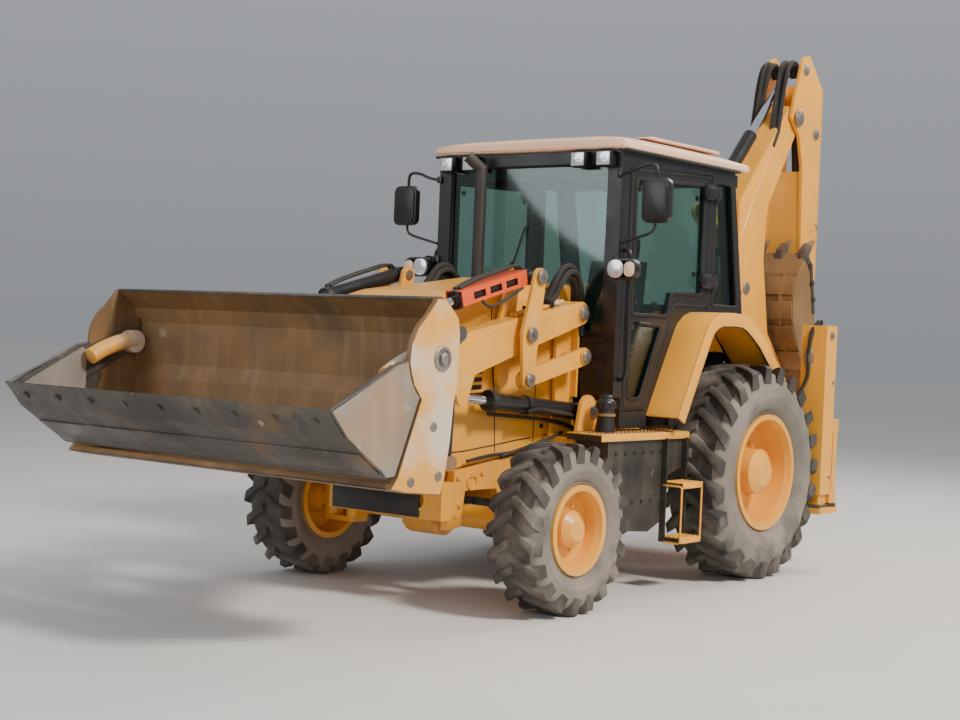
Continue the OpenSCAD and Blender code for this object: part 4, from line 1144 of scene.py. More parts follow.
@dataclass
class BodyShell:
    """Hood slats and seams, fenders, tanks with tread decks, steps, filler and frame bolts."""

    fender: list[Flat] = field(default_factory=lambda: [(1000, 1079), (940, 1190), (820, 1412), (716, 1600),
                                                        (670, 1668), (600, 1716), (520, 1741), (385, 1746),
                                                        (250, 1742), (160, 1716), (60, 1664), (-42, 1600),
                                                        (-160, 1500), (-300, 1382), (-434, 1262),
                                                        (-480, 1200), (-518, 1132)])

    def _inward(self, distance: float) -> list[Flat]:
        """Offsets the fender's outline towards the wheel.

        Args:
            distance: How far, in millimetres.
        Returns:
            The moved outline.
        """
        pts = [Vector(p) for p in self.fender]
        moved = []
        for k, p in enumerate(pts):
            ahead = (pts[min(k + 1, len(pts) - 1)] - pts[max(k - 1, 0)]).normalized()
            normal = Vector((-ahead.y, ahead.x))
            moved.append(tuple(p + normal * distance))
        return moved

    def _fenders(self) -> None:
        """Replaces the fenders by rounded shells with a side band and a rolled edge."""
        inner, band = self._inward(24), self._inward(86)
        for s, side in SIDES.items():
            shape = Shape()
            shape.prism(self.fender + list(reversed(inner)), s * 600, s * 962)
            shell = shape.build(f"fender_{side}", PAINT, "chassis", 10)
            edge = Shape()
            edge.prism(self.fender + list(reversed(band)), s * 944, s * 961)
            edge.build(f"fender_band_{side}", PAINT, "chassis", 4)
            wall = Shape()
            arch = [(785 * math.cos(a), 706 + 785 * math.sin(a)) for a in
                    (math.radians(d) for d in range(150, 27, -6))]
            wall.prism(self.fender + list(arch), s * 600, s * 616)
            wall.build(f"fender_wall_{side}", PAINT, "chassis")
            lip = Shape()
            lip.tube([(x, s * 953, z) for x, z in band], 7, 8)
            lip.build(f"fender_lip_{side}", BLACK, "chassis")
            if s == 1:
                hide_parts("rear_fenders")

    def _hood(self) -> None:
        """Adds the hood's side seams, slats, grille and lamps."""
        seams, slats, grille, lamps = Shape(), Shape(), Shape(), Shape()

        def half(x: float) -> float:
            """Gives the hood's half width at x.

            Args:
                x: The place along the machine.
            Returns:
                The half width.
            """
            return 380 - max(0.0, min(x, 2350) - 1900) * 22 / 450 - max(0.0, x - 2350) * 13 / 350

        for s in SIDES:
            for path in ([(1720, 905), (1716, 1250), (1740, 1500), (1790, 1720)],
                         [(2080, 850), (2096, 1100), (2120, 1300), (2150, 1500), (2160, 1700)]):
                seams.tube([(x, s * (half(x) - 1), z) for x, z in path], 4.5, 6)
            seams.tube([(x, s * (half(x) - 1), z) for x, z in ((1745, 930), (1900, 918), (2040, 900),
                (2350, 866), (2660, 850))], 4.5, 6)
            for k in range(9):
                z = 1180 + k * 44
                slats.slab([(x, s * (half(x) - 4), z + dz) for x, dz in ((2220, 0), (2600, -20), (2600, 6),
                    (2220, 26))], (0, s * 8, 0))
            for x, z in ((1640, 1000), (1640, 1640), (2640, 1000), (2640, 1560), (1900, 1620)):
                slats.rod((x, s * (half(x) - 4), z), (x, s * (half(x) + 6), z), 17, 16)
            lamps.block((2694, s * 190, 1440), (2706, s * 340, 1560))
            grille.block((2692, s * 178, 1428), (2702, s * 352, 1572))
        for k in range(14):
            z = 900 + k * 36
            grille.block((2694, -300, z), (2708, 300, z + 15))
        grille.block((2690, -310, 884), (2700, 310, 1410))
        seams.build("hood_seams", GASKET, "hood")
        slats.build("hood_side_slats", BLACK, "hood", 2)
        grille.build("front_grille", BLACK, "hood", 3)
        lamps.build("front_road_lamps", LENS, "hood", 6)
        latch = Shape()
        for s in SIDES:
            latch.prism([(2520, 1560), (2600, 1548), (2604, 1590), (2524, 1602)], s * 345, s * 358)
        latch.build("hood_latches", BLACK, "hood", 5)

    def _tanks(self) -> None:
        """Adds tread decks with studs, steps, the filler neck with its clamp, and rivets."""
        deck, tread, frame = Shape(), Shape(), Shape()
        studs: list[tuple[Vector, Matrix]] = []
        holes: list[tuple[Vector, Matrix]] = []
        up = facing((0, 0, 1))
        for s in SIDES:
            deck.block((722, s * 616, 974), (1702, s * 872, 982))
            deck.block((722, s * 866, 938), (1702, s * 873, 980))
            deck.block((716, s * 616, 938), (724, s * 873, 980))
            for i in range(22):
                for j in range(6):
                    studs.append((row(748 + i * 43 + (j % 2) * 20, s * (640 + j * 41), 982), up))
            for z in (314, 654):
                frame.block((764, s * 862, z + 12), (986, s * 1006, z + 20))
                for k in range(4):
                    tread.block((772, s * (872 + k * 34), z + 18), (978, s * (888 + k * 34), z + 26))
                tread.block((758, s * 1002, z - 14), (992, s * 1010, z + 24))
            for x in (757, 993):
                frame.tube(mirrored([(x, 866, 652), (x, 990, 652), (x, 1002, 640), (x, 1002, 312),
                                     (x, 990, 300), (x, 880, 300)], s), 7, 8)
        for i in range(11):
            for s in SIDES:
                holes.append((row(1010 + i * 55, s * 851, 800 - (i % 2) * 3), facing((0, s, 0))))
        deck.build("tread_decks", PAINT, "chassis", 3)
        tread.build("step_treads", PAINT, "chassis", 2)
        frame.build("step_frames", PAINT, "chassis", 1.5)
        stud = Shape().lathe([(0, -2), (11, -2), (9, 4), (6, 5), (0, 5)], (MID_X, 0, 0), (0, 0, 1), 10)
        Pattern.spread("deck_studs", stud, studs, RUST, "chassis", 0.12, 3)
        bolts("tank_rivets", [(1010 + i * 100, s * 850, z) for i in range(6) for z in (560,
            860) for s in SIDES if not (i == 0 and z == 560)], (0, 1, 0), 10, BLACK, "chassis", 4)
        filler = Shape()
        filler.lathe([(0, -10), (66, -10), (62, 20), (54, 60), (50, 140), (0, 140)], (1480, 740, 985),
                     (0, 0, 1), 32)
        filler.lathe([(0, 138), (56, 138), (60, 146), (60, 178), (52, 192), (38, 200), (40, 214), (26, 226),
                      (0, 228)], (1480, 740, 985), (0, 0, 1), 32)
        for k in range(12):
            t = math.pi * k / 6
            filler.rod((1480 + 60 * math.cos(t), 740 + 60 * math.sin(t), 1128),
                       (1480 + 60 * math.cos(t), 740 + 60 * math.sin(t), 1160), 5, 6)
        filler.build("filler_neck", BLACK, "chassis", 1.5)
        band = Shape().lathe([(53, 96), (60, 96), (60, 112), (53, 112)], (1480, 740, 985), (0, 0, 1), 32)
        band.build("filler_clamp", RUST, "chassis")

    def _frame(self) -> None:
        """Adds frame bolts, tow holes' rims and chassis hoses."""
        # Black plate on the lower front face: partly black paint, partly painted shade. It ends at y 272,
        # where the shade on that face ends.
        plate = Shape()
        plate.block((2616, -400, 490), (2630, 272, 634))
        plate.build("front_lower_plate", BLACK, "chassis", 4)
        places = [(x, s * 380, z) for s in SIDES for x, z in ((1760, 800), (1860, 790), (1760, 700),
            (1860, 700), (2420, 720), (2460, 640), (2400, 560), (2440, 500), (2300, 730), (2200, 738))]
        for s in SIDES:
            bolts(f"frame_bolts_{'left' if s == 1 else 'right'}", [p for p in places if p[1] * s > 0],
                  (0, s, 0), 15, PAINT, "chassis", 10)
        rims = Shape()
        for s in SIDES:
            for x, z, r in ((2290, 688, 34), (1990, 690, 40)):
                rims.lathe([(r, -4), (r + 16, -4), (r + 16, 8), (r, 8)], (x, s * 380, z), (0, s, 0), 24)
            rims.lathe([(46, -2), (64, -2), (64, 6), (46, 6)], (2620, s * 260, 592), (1, 0, 0), 24)
        rims.build("frame_hole_rims", PAINT, "chassis", 1.5)
        lines = Shape()
        for s in SIDES:
            lines.pipe([(1650, 392, 900), (1800, 400, 870), (1950, 396, 850), (2150, 392, 838),
                        (2360, 392, 812)], s, 9, 8)
            lines.pipe([(1480, 420, 960), (1640, 470, 940), (1820, 420, 880), (2040, 392, 830)], s, 11, 8)
        lines.build("frame_lines", HOSE, "chassis")

    def make(self) -> None:
        """Makes the body's pieces."""
        self._fenders()
        self._hood()
        self._tanks()
        self._frame()


@dataclass
class LoaderArms:
    """Pin retainers, glands, pipes and hoses of the loader linkage.

    Attributes:
        caps: For each body, its pin caps as (x, z, y of the seat, radius).
        lift_base: Pin of the lift ram's barrel as (x, z).
        lift_way: Direction of the lift ram as (x, z).
        tilt_base: Pin of the tilt ram's barrel.
        tilt_way: Direction of the tilt ram.
    """

    caps: dict[str, list[tuple[float, float, float, float]]] = field(default_factory=lambda: {
        "chassis": [(1500, 1694, 568, 44), (1505, 1432, 602, 42), (1445, 1095, 627, 42)],
        "rear_levers": [(2095, 1550, 629, 44), (2100, 1288, 629, 40)],
        "tilt_pins": [(2020, 1889, 627, 44)], "lever_pins": [(3010, 1313, 627, 30)],
        "link_pins": [(2935, 1652, 611, 42)],
    })
    lift_base: Flat = (1445, 1095)
    lift_way: Flat = (0.997, 0.081)
    tilt_base: Flat = (2020, 1889)
    tilt_way: Flat = (0.968, -0.251)

    def _gland(self, shape: Shape, profile: list[Flat], base: Flat, way: Flat, along: float,
               y: float) -> None:
        """Adds a gland or ring round a ram's barrel.

        Args:
            shape: Collects it.
            profile: Its profile round the ram.
            base: The ram's pin as (x, z).
            way: The ram's direction as (x, z).
            along: How far from the pin.
            y: Place across the machine.
        """
        shape.lathe(profile, (base[0] + along * way[0], y, base[1] + along * way[1]), (way[0], 0, way[1]), 24)


    def _retainer(self, shape: Shape, x: float, z: float, y: float, r: float, s: int) -> None:
        """Adds a pin's washer, disc and bolt.

        Args:
            shape: Collects it.
            x: Place forward.
            z: Height.
            y: The face it sits on.
            r: Radius of the washer.
            s: Side.
        """
        shape.lathe([(0, -3), (r, -3), (r, 5), (r - 5, 10), (r * 0.62, 11), (r * 0.60, 17), (0, 17)],
                    (x, s * y, z), (0, s, 0), 28)
        shape.rod((x, s * (y + 15), z), (x, s * (y + 25), z), r * 0.34, 6)

    def _retainers(self) -> None:
        """Caps every pin of the linkage on its own body."""
        for body, items in self.caps.items():
            shape = Shape()
            for x, z, y, r in items:
                for s in SIDES:
                    self._retainer(shape, x, z, y, r, s)
            shape.build(f"pin_caps_{body}", PIN_STEEL, body, 1.2)

    def _rings(self) -> None:
        """Adds raised rings round the arms' pins and weld lines on the arms."""
        rings, ribs = Shape(), Shape()
        for s in SIDES:
            rings.lathe([(38, -3), (70, -3), (68, 3), (40, 3)], (1500, s * 551, 1694), (0, s, 0), 28)
            for path in ([(1700, 1668), (2000, 1630)], [(2200, 1596), (2880, 1420)],
                         [(2700, 1210), (3060, 1130)]):
                ribs.tube([(x, s * 550.5, z) for x, z in path], 3.2, 6)
            ribs.pipe([(1640, 500, 1762), (1860, 500, 1712), (2100, 500, 1662)], s, 12, 8)
            ribs.pipe([(1640, 470, 1762), (1860, 470, 1712), (2100, 470, 1662)], s, 12, 8)
        rings.build("arm_pin_rings", LOADER_PAINT, "arms")
        ribs.build("arm_welds_and_pipes", LOADER_PAINT, "arms")
        clamp = Shape()
        for s in SIDES:
            for x, z in ((1760, 1742), (1960, 1700)):
                clamp.block((x - 18, s * 452, z - 24), (x + 18, s * 518, z + 20))
        clamp.build("arm_pipe_clamps", BLACK, "arms", 4)

    def _hoses(self) -> None:
        """Adds the sleeved hose loops at the arm pivots and the lines of the rams."""
        for s, side in SIDES.items():
            loop = Shape()
            for k, (dy, dz) in enumerate(((0, 0), (30, -34), (-26, -30), (8, -62))):
                loop.pipe([(1392, 440 + dy, 1560), (1412, 452 + dy, 1700 + dz * 0.3),
                           (1440, 468 + dy, 1850 + dz), (1520, 486 + dy, 1962 + dz),
                           (1620, 494 + dy, 1966 + dz), (1700, 498 + dy, 1896 + dz),
                           (1760, 500 + dy, 1800 + dz * 0.4), (1800, 500 + dy * 0.6, 1752)], s,
                          19 if k < 3 else 15, 10, 7)
            obj = loop.bare(f"arm_hoses_{side}", SLEEVE)
            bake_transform(obj)
            lift = Shape()
            lift.pipe([(2270, 470, 1100), (2240, 446, 1083), (2100, 446, 1074), (1800, 446, 1052),
                       (1620, 446, 1036)], s, 11, 8)
            lift.pipe([(2010, 548, 1102), (1900, 556, 1114), (1760, 556, 1099), (1620, 552, 1082)], s, 13, 8)
            self._gland(lift, [(52, -40), (62, -40), (64, -8), (60, 14), (52, 14)], self.lift_base,
                        self.lift_way, 868, s * 490)
            self._gland(lift, [(51, 0), (57, 0), (57, 34), (51, 34)], self.lift_base, self.lift_way, 500,
                        s * 490)
            lift.build(f"lift_ram_lines_{side}", HOSE, "lift_barrels")
            tail = Shape()
            for dy in (0, 34):
                tail.pipe([(1640, 446 + dy * 3, 1037 + dy * 1.4), (1540, 448 + dy * 3, 1022 + dy * 1.4),
                           (1456, 462 + dy * 3, 1000 + dy), (1400, 482 + dy * 2, 968), (1372, 500 + dy, 930)],
                          s, 13, 8, 7)
            obj = tail.bare(f"lift_hoses_{side}", HOSE)
            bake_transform(obj)
            tilt = Shape()
            for dy in (-22, 14):
                tilt.pipe([(2075, 498 + dy, 1925), (2130, 498 + dy, 1944), (2300, 498 + dy, 1902),
                           (2520, 498 + dy, 1838), (2640, 498 + dy, 1790)], s, 10, 8, 6)
            tilt.pipe([(2120, 560, 1820), (2300, 566, 1740), (2420, 560, 1700), (2500, 548, 1742)], s, 9, 8,
                      6)
            self._gland(tilt, [(47, -30), (56, -30), (58, -6), (54, 12), (47, 12)], self.tilt_base,
                        self.tilt_way, 652, s * 498)
            tilt.build(f"tilt_ram_lines_{side}", HOSE, "tilt_barrels")

    def make(self) -> None:
        """Makes the loader's fittings."""
        self._retainers()
        self._rings()
        self._hoses()


@dataclass
class LoaderBucket:
    """Edges, ribs, bosses and bolts of the two-piece bucket."""

    half: float = 1205.0

    def _blade(self) -> None:
        """Adds the top rail, ribs, side skins and pivot bosses of the blade."""
        rail = Shape()
        rail.tube([(3612, y, 1704) for y in (-1203, -600, 0, 600, 1203)], 13, 10)
        rail.prism([(3500, 1632), (3600, 1712), (3640, 1712), (3640, 1700), (3604, 1698), (3512, 1622)],
                   -1200, 1200)
        rail.build("blade_top_rail", WORN, "bucket", 2)
        back = Shape()
        for y in (-1080, -860, -200, 0, 200, 860, 1080):
            back.prism([(3462, 1500), (3444, 1420), (3448, 1180), (3494, 900), (3540, 800), (3546, 830),
                        (3512, 1010), (3494, 1206), (3468, 1288), (3468, 1500)], y - 9, y + 9)
        back.prism([(3440, 1480), (3466, 1480), (3466, 1400), (3440, 1400)], -900, 900)
        back.build("blade_back_ribs", LOADER_PAINT, "bucket", 3)
        skins = Shape()
        outline = [(3584, 1704), (3484, 1616), (3468, 1540), (3468, 1286), (3495, 1206), (3513, 1012),
                   (3545, 830), (3572, 762), (3822, 784), (3924, 803), (3882, 852), (3730, 1222),
                   (3790, 1290), (3826, 1392), (3818, 1480), (3774, 1560), (3722, 1610), (3640, 1702)]
        for s in SIDES:
            skins.prism(outline, s * (self.half - 2), s * (self.half + 2.5))
        skins.build("cheek_skins", CHEEK_PAINT, "bucket")
        boss = Shape()
        for s in SIDES:
            boss.lathe([(0, 0), (62, 0), (62, 8), (56, 12), (44, 12), (42, 6), (30, 6), (28, 20), (22, 24),
                        (0, 24)], (3593, s * (self.half + 1), 1418), (0, s, 0), 32)
            for x, z in ((3640, 1090), (3590, 850), (3790, 830)):
                boss.lathe([(0, 0), (24, 0), (24, 5), (18, 8), (0, 8)], (x, s * (self.half + 1), z),
                           (0, s, 0), 20)
        boss.build("cheek_bosses", PIN_STEEL, "bucket")
        edge = Shape()
        edge.prism([(3570, 760), (3830, 780), (3934, 800), (3926, 806), (3826, 792), (3572, 772)], -1178,
                   1178)
        edge.build("blade_cutting_edge", WORN, "bucket", 2)
        bolts("blade_edge_bolts", [(3700, -1100 + k * 200, 772) for k in range(12)], (0.08, 0, -1), 17, WORN,
              "bucket", 5)

    def _jaw(self) -> None:
        """Adds wear strips, bolts, seams and ram guards of the jaw."""
        strip = Shape()
        tip, low = Vector((4365, 1183)), Vector((4243, 1047))
        along = (tip - low).normalized()
        normal = Vector((along.y, -along.x))
        a, b = low + along * 6, tip - along * 4
        strip.prism([tuple(a + normal * 7), tuple(b + normal * 1), tuple(b - normal * 2),
                     tuple(a - normal * 2)], -1198, 1198)
        low2, low3 = Vector((4138, 974)), Vector((3995, 880))
        d = (low2 - low3).normalized()
        n = Vector((d.y, -d.x))
        strip.prism([tuple(low3 + n * 7), tuple(low2 + n * 7), tuple(low2 - n * 2), tuple(low3 - n * 2)],
                    -1190, 1190)
        strip.prism([(3952, 846), (3996, 872), (4000, 884), (3958, 858)], -1196, 1196)
        strip.build("jaw_wear_strips", WORN, "jaw", 2.5)
        places = []
        for k in range(9):
            p = low + along * 96 + normal * 5
            places.append((p.x, -1080 + k * 270, p.y))
        bolts("jaw_edge_bolts", places, (normal.x, 0, normal.y), 17, WORN, "jaw", 4)
        cheek = Shape()
        for s in SIDES:
            arc = [(3593 + 243 * math.cos(math.radians(d)), 1418 + 243 * math.sin(math.radians(d)))
                   for d in range(-50, -4, 5)]
            cheek.prism([(4340, 1170), (4234, 1050), (4134, 981), (3993, 888), (3963, 860), (3904, 864),
                         (3755, 1224)] + arc + [(3900, 1386)], s * 1201, s * 1206)
            cheek.prism([(4290, 1176), (4222, 1064), (4130, 1000), (3980, 905), (3900, 1000), (3870, 1180),
                         (3872, 1360), (3902, 1378)], s * 1148.5, s * 1150)
        cheek.build("jaw_side_skins", WORN_SIDE, "jaw")
        inner = Shape()
        inner.prism([(3934, 905), (4100, 1001), (4300, 1151), (4318, 1162), (4296, 1155), (4096, 1006),
                     (3930, 911)], -1146, 1146)
        inner.build("jaw_floor_skin", RUST, "jaw")
        seam = Shape()
        for s in SIDES:
            seam.tube([(x, s * 1202, z) for x, z in ((3990, 884), (4134, 978), (4238, 1051), (4352, 1178))],
                      6, 6)
            seam.tube([(x, s * 1202, z) for x, z in ((4352, 1178), (4120, 1284), (3902, 1388), (3838, 1402))],
                      6, 6)
            seam.tube([(x, s * 1172, z) for x, z in ((4300, 1166), (4104, 1012), (3940, 914))], 8, 6)
        seam.build("jaw_edge_welds", WORN, "jaw")
        guard = Shape()
        for s in SIDES:
            guard.pipe([(3596, 1086, 1430), (3690, 1092, 1408), (3790, 1100, 1372), (3880, 1104, 1326)], s,
                       46, 18)
            guard.rod((3594, s * 1060, 1418), (3594, s * 1140, 1418), 64, 24)
        guard.build("jaw_pivot_shrouds", CHEEK_PAINT, "jaw", 4)

    def make(self) -> None:
        """Makes the bucket's pieces."""
        self._blade()
        self._jaw()


@dataclass
class Backhoe:
    """Pipes, hoses, bolts, pin caps, ribs and teeth of the backhoe, and the stabilisers' fittings."""

    y: float = 320.0
    half: float = 115.0

    def _pipes(self) -> None:
        """Runs the steel pipes and clamps along the boom's front edge."""
        line = [(-640, 1900), (-590, 2080), (-596, 2300), (-700, 2520), (-900, 2830), (-1090, 3110),
                (-1180, 3260)]
        pipes = Shape()
        for k in range(4):
            y = self.y - 96 + k * 18
            pipes.pipe([(x + 16, y, z + 10) for x, z in line], 1, 8, 8, 6)
        for k in range(3):
            y = self.y + 66 + k * 17
            pipes.pipe([(x + 16, y, z + 10) for x, z in line], 1, 7, 8, 6)
        pipes.build("boom_pipes", PIN_STEEL, "boom")
        clamps = Shape()
        for x, z in ((-585, 2200), (-720, 2562), (-930, 2876)):
            for y0, y1 in ((-108, -30), (54, 112)):
                clamps.block((x - 22, self.y + y0, z - 24), (x + 34, self.y + y1, z + 24))
        clamps.build("boom_pipe_clamps", BLACK, "boom", 5)

    def _top_hoses(self) -> None:
        """Bunches the hoses that cross from the boom to the stick."""
        bunch = Shape()
        for k, across in enumerate((-112, -90, -70, -52, 54, 74, 94, 112)):
            y = self.y + across
            out = 26 * math.sin(k * 1.9)
            bunch.pipe([(-1010, y, 3005), (-1080, y, 3130 + out * 0.4), (-1118 + out * 0.4, y, 3300),
                        (-1150 + out * 0.5, y + out * 0.3, 3460 + out), (-1196 + out * 0.4, y,
                3592 + out * 0.5), (-1262, y - out * 0.3, 3652 + out * 0.4), (-1330, y, 3640),
                (-1380, y * 0.9 + self.y * 0.1, 3560)], 1, 16, 9, 6)
        obj = bunch.bare("boom_top_hoses", SLEEVE)
        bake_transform(obj)
        root = Shape()
        for across in (-104, -84, 84, 104):
            y = self.y + across
            root.pipe([(-640, y, 1930), (-600, y, 1790), (-690, y, 1640), (-860, y, 1500), (-960, y, 1330),
                       (-1040, y, 1210)], 1, 13, 8, 6)
        root.build("boom_front_hoses", HOSE, "boom")

    def _caps(self, name: str, body: str, pins: list[tuple[float, float, float, float]],
              crown: bool = False) -> None:
        """Caps pins on both sides of the boom's plane.

        Args:
            name: The piece's name.
            body: The body it is on.
            pins: Each pin as (x, z, y from the boom's plane, radius).
            crown: True for caps with a raised middle.
        """
        shape = Shape()
        for s in SIDES:
            for x, z, y, r in pins:
                top = [(r * 0.6, 10), (r * 0.56, 18), (0, 18)] if crown else [(0, 10)]
                shape.lathe([(0, -2), (r, -2), (r, 6), (r - 6, 10)] + top, (x, self.y + s * y, z), (0, s, 0),
                            26)
        shape.build(name, PIN_STEEL, body, 1)

    def _boom(self) -> None:
        """Adds weld seams, ribs and pin caps of the boom and stick."""
        welds = Shape()
        for s in SIDES:
            y = self.y + s * (self.half + 0.5)
            for path in ([(-1340, 980), (-1200, 1092), (-1000, 1240), (-660, 1650), (-574, 2100),
                          (-600, 2320), (-760, 2610), (-1200, 3290)],
                         [(-1385, 3220), (-1340, 3140), (-960, 2560), (-930, 2167), (-1038, 1634),
                          (-1330, 1330), (-1435, 1000)]):
                welds.tube([(x, y, z) for x, z in path], 4, 6)
        welds.build("boom_welds", PAINT, "boom")
        self._caps("stick_pin_caps", "stick", [(-1295, 3245, 168, 62), (-1401, 3620, 150, 44),
                                               (-1600, 3160, 150, 44), (-1530, 1830, 150, 42)], True)
        self._caps("boom_pin_caps", "boom", [(-700, 1950, 115, 46)])
        self._caps("post_pin_caps", "kingpost", [(-1395, 650, 150, 44), (-1160, 1040, 150, 38)])
        plate = Shape()
        for s in SIDES:
            y = self.y + s * 150.5
            plate.prism([(-1640, 2660), (-1640, 2760), (-1610, 2740), (-1610, 2690)], y - 3, y + 3)
            for path in ([(-1500, 1500), (-1470, 1750), (-1456, 2000), (-1406, 2900), (-1336, 3130)],
                         [(-1680, 3490), (-1684, 2062), (-1634, 1702), (-1610, 1486)]):
                plate.tube([(x, y, z) for x, z in path], 3.5, 6)
            plate.lathe([(14, -2), (30, -2), (28, 4), (16, 4)], (-1590, y, 2420), (0, s, 0), 20)
        plate.build("stick_welds", PAINT, "stick")

    def _bucket(self) -> None:
        """Adds the ribs, side cutters, tooth adapters and bolts of the digging bucket."""
        ribs = Shape()
        outer = [(-1478, 1222), (-1350, 1370), (-1180, 1530), (-1075, 1720), (-1060, 1900), (-1110, 2080),
                 (-1240, 2240)]
        for k in (1, 2, 3, 4):
            a, b = Vector(outer[k]), Vector(outer[k + 1])
            d = (b - a).normalized()
            n = Vector((d.y, -d.x))
            p, q = a + d * 20, b - d * 26
            ribs.prism([tuple(p + n * 14), tuple(q + n * 14), tuple(q - n * 4), tuple(p - n * 4)],
                       self.y - 300, self.y + 300)
        for y in (-200, 0, 200):
            ribs.prism([(-1460, 1236), (-1350, 1356), (-1176, 1520), (-1064, 1716), (-1048, 1900),
                        (-1100, 2084), (-1116, 2078), (-1070, 1898), (-1086, 1726), (-1188, 1542),
                        (-1356, 1382)], self.y + y - 12, self.y + y + 12)
        ribs.build("dig_bucket_ribs", RUST, "dig_bucket", 3)
        side = Shape()
        for s in SIDES:
            side.prism([(-1244, 2236), (-1330, 2146), (-1398, 1800), (-1370, 1790), (-1300, 2110),
                        (-1216, 2206)], self.y + s * 303, self.y + s * 316)
        side.build("dig_side_cutters", WORN, "dig_bucket", 3)
        for s, name in SIDES.items():
            bolts(f"dig_cutter_bolts_{name}", [(-1290, self.y + s * 316, 2150), (-1330, self.y + s * 316,
                2020), (-1360, self.y + s * 316, 1900)], (0, s, 0), 17, WORN, "dig_bucket", 10)
        teeth = Shape()
        for i in range(4):
            y = self.y + (i / 3 - 0.5) * 560
            teeth.prism([(-1196, 2176), (-1222, 2262), (-1296, 2318), (-1302, 2282), (-1262, 2196)], y - 33,
                        y + 33)
        teeth.build("dig_tooth_adapters", WORN, "dig_bucket", 6)

    def _stabilisers(self) -> None:
        """Adds the sleeves' caps, hoses, valves and the pads' cleats."""
        for s, side in SIDES.items():
            mid = s * 985
            hose = Shape()
            for dx, dz in ((0, 0), (34, -30)):
                hose.pipe([(-800 + dx, mid, 1690), (-796 + dx, mid + s * 6, 1730 + dz * 0.2),
                           (-760 + dx * 0.6, mid, 1722 + dz), (-702, mid - s * 20, 1640 + dz),
                           (-694, mid - s * 30, 1480), (-694, mid - s * 34, 1330), (-640, mid - s * 90, 1200),
                           (-600, s * 760, 1150)], 1, 13, 9, 7)
            hose.build(f"stabiliser_hoses_{side}", HOSE, "chassis")
            valve = Shape()
            valve.block((-716, mid - s * 58, 1440), (-684, mid + s * 4, 1500))
            valve.rod((-700, mid - s * 48, 1410), (-700, mid - s * 48, 1530), 11, 12)
            valve.rod((-700, mid - s * 12, 1410), (-700, mid - s * 12, 1530), 11, 12)
            valve.build(f"stabiliser_valve_{side}", PIN_STEEL, "chassis", 2)
            trim = Shape()
            trim.lathe([(0, 0), (30, 0), (28, 8), (16, 10), (14, 18), (0, 18)], (-793, s * 1080, 1630),
                       (0, s, 0), 22)
            for z in (1300, 640):
                trim.lathe([(0, 0), (14, 0), (12, 6), (0, 6)], (-840, s * 1080, z), (0, s, 0), 14)
            trim.build(f"sleeve_caps_{side}", PIN_STEEL, "chassis")
            pad = Shape()
            for x in (-900, -690):
                pad.block((x - 16, s * 880, 422), (x + 16, s * 1090, 452))
            for y in (905, 1065):
                pad.block((-925, s * (y - 12), 428), (-672, s * (y + 12), 446))
            for x in (-912, -683):
                pad.rod((x, s * 868, 444), (x, s * 1104, 444), 14, 12)
            pad.build(f"pad_cleats_{side}", WORN, f"leg_{side}", 3)

    def _carriage(self) -> None:
        """Adds the clamp bolts and the slide's wear strips."""
        bolts("carriage_bolts", [(-1005, self.y + y, z) for y in (-200, -120, 120, 200) for z in (470, 1040)],
              (-1, 0, 0), 16, PIN_STEEL, "carriage", 12)
        strips = Shape()
        for z in (500, 1000):
            strips.block((-967, -1070, z + 30), (-962, 1070, z + 44))
        strips.build("slide_wear_strips", PIN_STEEL, "chassis")

    def make(self) -> None:
        """Makes the backhoe's pieces."""
        self._pipes()
        self._top_hoses()
        self._boom()
        self._bucket()
        self._stabilisers()
        self._carriage()


@dataclass(frozen=True)
class Lamp:
    """A soft studio light."""

    name: str
    place: Point
    size: float
    power: float
    colour: Point


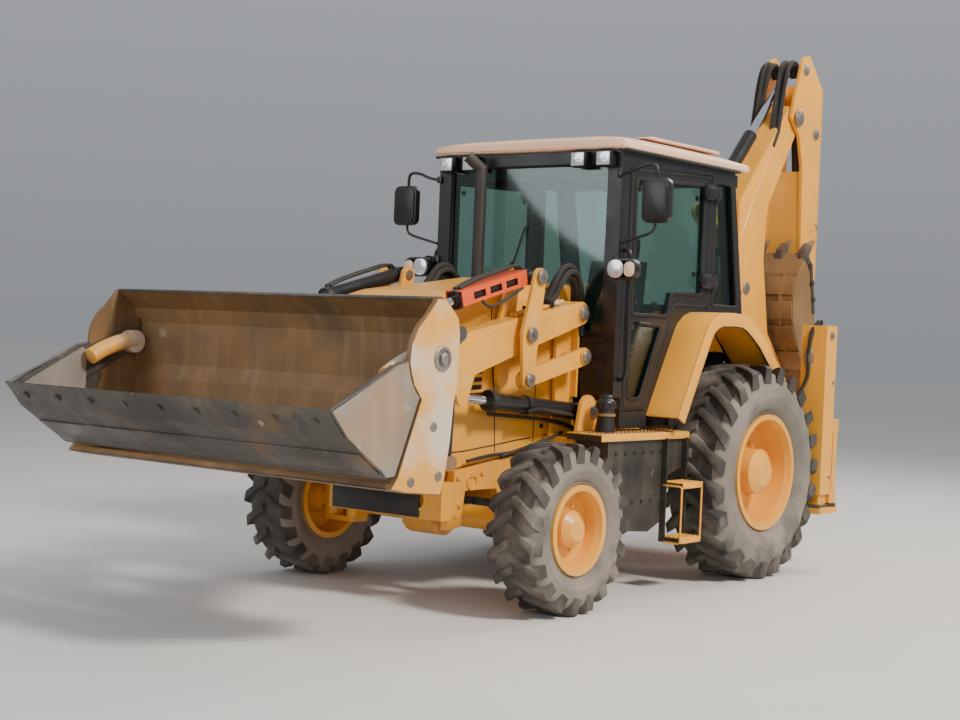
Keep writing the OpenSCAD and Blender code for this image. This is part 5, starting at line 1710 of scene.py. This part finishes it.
class Studio:
    """Plain floor, soft lights, and the camera at the photo's angle."""

    LAMPS = (
        Lamp("key", (0.5, 9.5, 9.5), 2.4, 1900.0, (1.0, 0.94, 0.85)),
        Lamp("fill", (9.0, -4.0, 5.0), 6.0, 260.0, (0.90, 0.94, 1.0)),
        Lamp("rim", (-8.0, 1.0, 8.0), 5.0, 600.0, (1.0, 0.97, 0.93)),
        Lamp("front", (10.0, 8.0, 3.0), 6.0, 300.0, (1.0, 0.98, 0.95)),
    )
    EYE = (8.3117, 6.1924, 1.5542)
    LENS, SENSOR = 60.6, 36.0
    FLOOR_HALF = 60.0
    SKY_LOW, SKY_HIGH = 0.60, 1.0
    SKY_COLOUR = (0.86, 0.90, 0.96)
    SKY_POWER = 0.55
    AIM = (0.2, 0, 1.2)
    YAW, PITCH, ROLL = -2.469655, -0.017287, 0.042294

    def _camera(self) -> None:
        """Places the camera where the photo was taken."""
        ahead = Vector((math.cos(self.PITCH) * math.cos(self.YAW), math.cos(self.PITCH) * math.sin(self.YAW),
                        math.sin(self.PITCH)))
        right = ahead.cross(Vector((0, 0, 1))).normalized()
        up = right.cross(ahead)
        c, s = math.cos(self.ROLL), math.sin(self.ROLL)
        across, above = right * c + up * s, up * c - right * s
        data = bpy.data.cameras.new("photo_camera")
        data.lens, data.sensor_width = self.LENS, self.SENSOR
        data.clip_start, data.clip_end = 0.05, 200.0
        cam = bpy.data.objects.new("photo_camera", data)
        bpy.context.scene.collection.objects.link(cam)
        turn = Matrix((across, above, -ahead)).transposed().to_4x4()
        cam.matrix_world = Matrix.Translation(self.EYE) @ turn
        bpy.context.scene.camera = cam

    def _floor(self) -> None:
        """Makes a pale, flat floor."""
        data = bpy.data.meshes.new("studio_floor")
        rim = self.FLOOR_HALF
        data.from_pydata([(-rim, -rim, 0), (rim, -rim, 0), (rim, rim, 0), (-rim, rim, 0)], [], [(0, 1, 2, 3)])
        floor = bpy.data.objects.new("studio_floor", data)
        bpy.context.scene.collection.objects.link(floor)
        data.materials.append(PAINTBOX.get(STUDIO))

    def make(self) -> None:
        """Makes the studio."""
        self._floor()
        world = bpy.data.worlds.new("studio_sky")
        world.use_nodes = True
        sky = world.node_tree.nodes["Background"]
        tree = world.node_tree
        ramp = tree.nodes.new("ShaderNodeValToRGB")
        ramp.color_ramp.elements[0].position, ramp.color_ramp.elements[1].position = 0.5, 0.68
        for stop, share in zip(ramp.color_ramp.elements, (self.SKY_LOW, self.SKY_HIGH)):
            stop.color = (*(c * share for c in self.SKY_COLOUR), 1.0)
        height = tree.nodes.new("ShaderNodeSeparateXYZ")
        lift = tree.nodes.new("ShaderNodeMath")
        lift.operation, lift.inputs[1].default_value, lift.inputs[2].default_value = "MULTIPLY_ADD", 0.5, 0.5
        ways = tree.nodes.new("ShaderNodeTexCoord")
        tree.links.new(ways.outputs["Generated"], height.inputs[0])
        tree.links.new(height.outputs["Z"], lift.inputs[0])
        tree.links.new(lift.outputs[0], ramp.inputs[0])
        tree.links.new(ramp.outputs[0], sky.inputs[0])
        sky.inputs[1].default_value = self.SKY_POWER
        bpy.context.scene.world = world
        for lamp in self.LAMPS:
            data = bpy.data.lights.new(lamp.name, "AREA")
            data.shape, data.size, data.energy, data.color = "DISK", lamp.size, lamp.power, lamp.colour
            obj = bpy.data.objects.new(lamp.name, data)
            bpy.context.scene.collection.objects.link(obj)
            obj.visible_glossy = lamp.name != "front"
            aim = Vector(self.AIM) - Vector(lamp.place)
            obj.matrix_world = Matrix.Translation(lamp.place) @ aim.to_track_quat("-Z",
                "Y").to_matrix().to_4x4()
        self._camera()


def main() -> None:
    """Builds the whole scene."""
    logging.basicConfig(level=logging.INFO)
    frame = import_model()
    PAINTBOX.dress(frame["nodes"])
    for name, side in (("front_left", 1), ("front_right", -1)):
        Wheel(name, side, FRONT_WHEEL).make()
    for name, side in (("rear_left", 1), ("rear_right", -1)):
        Wheel(name, side, REAR_WHEEL).make()
    for part in (Cab(), Seat(), BodyShell(), LoaderArms(), LoaderBucket(), Backhoe(), Studio()):
        part.make()
        log.info("made %s", type(part).__name__)


if __name__ == "__main__":
    main()
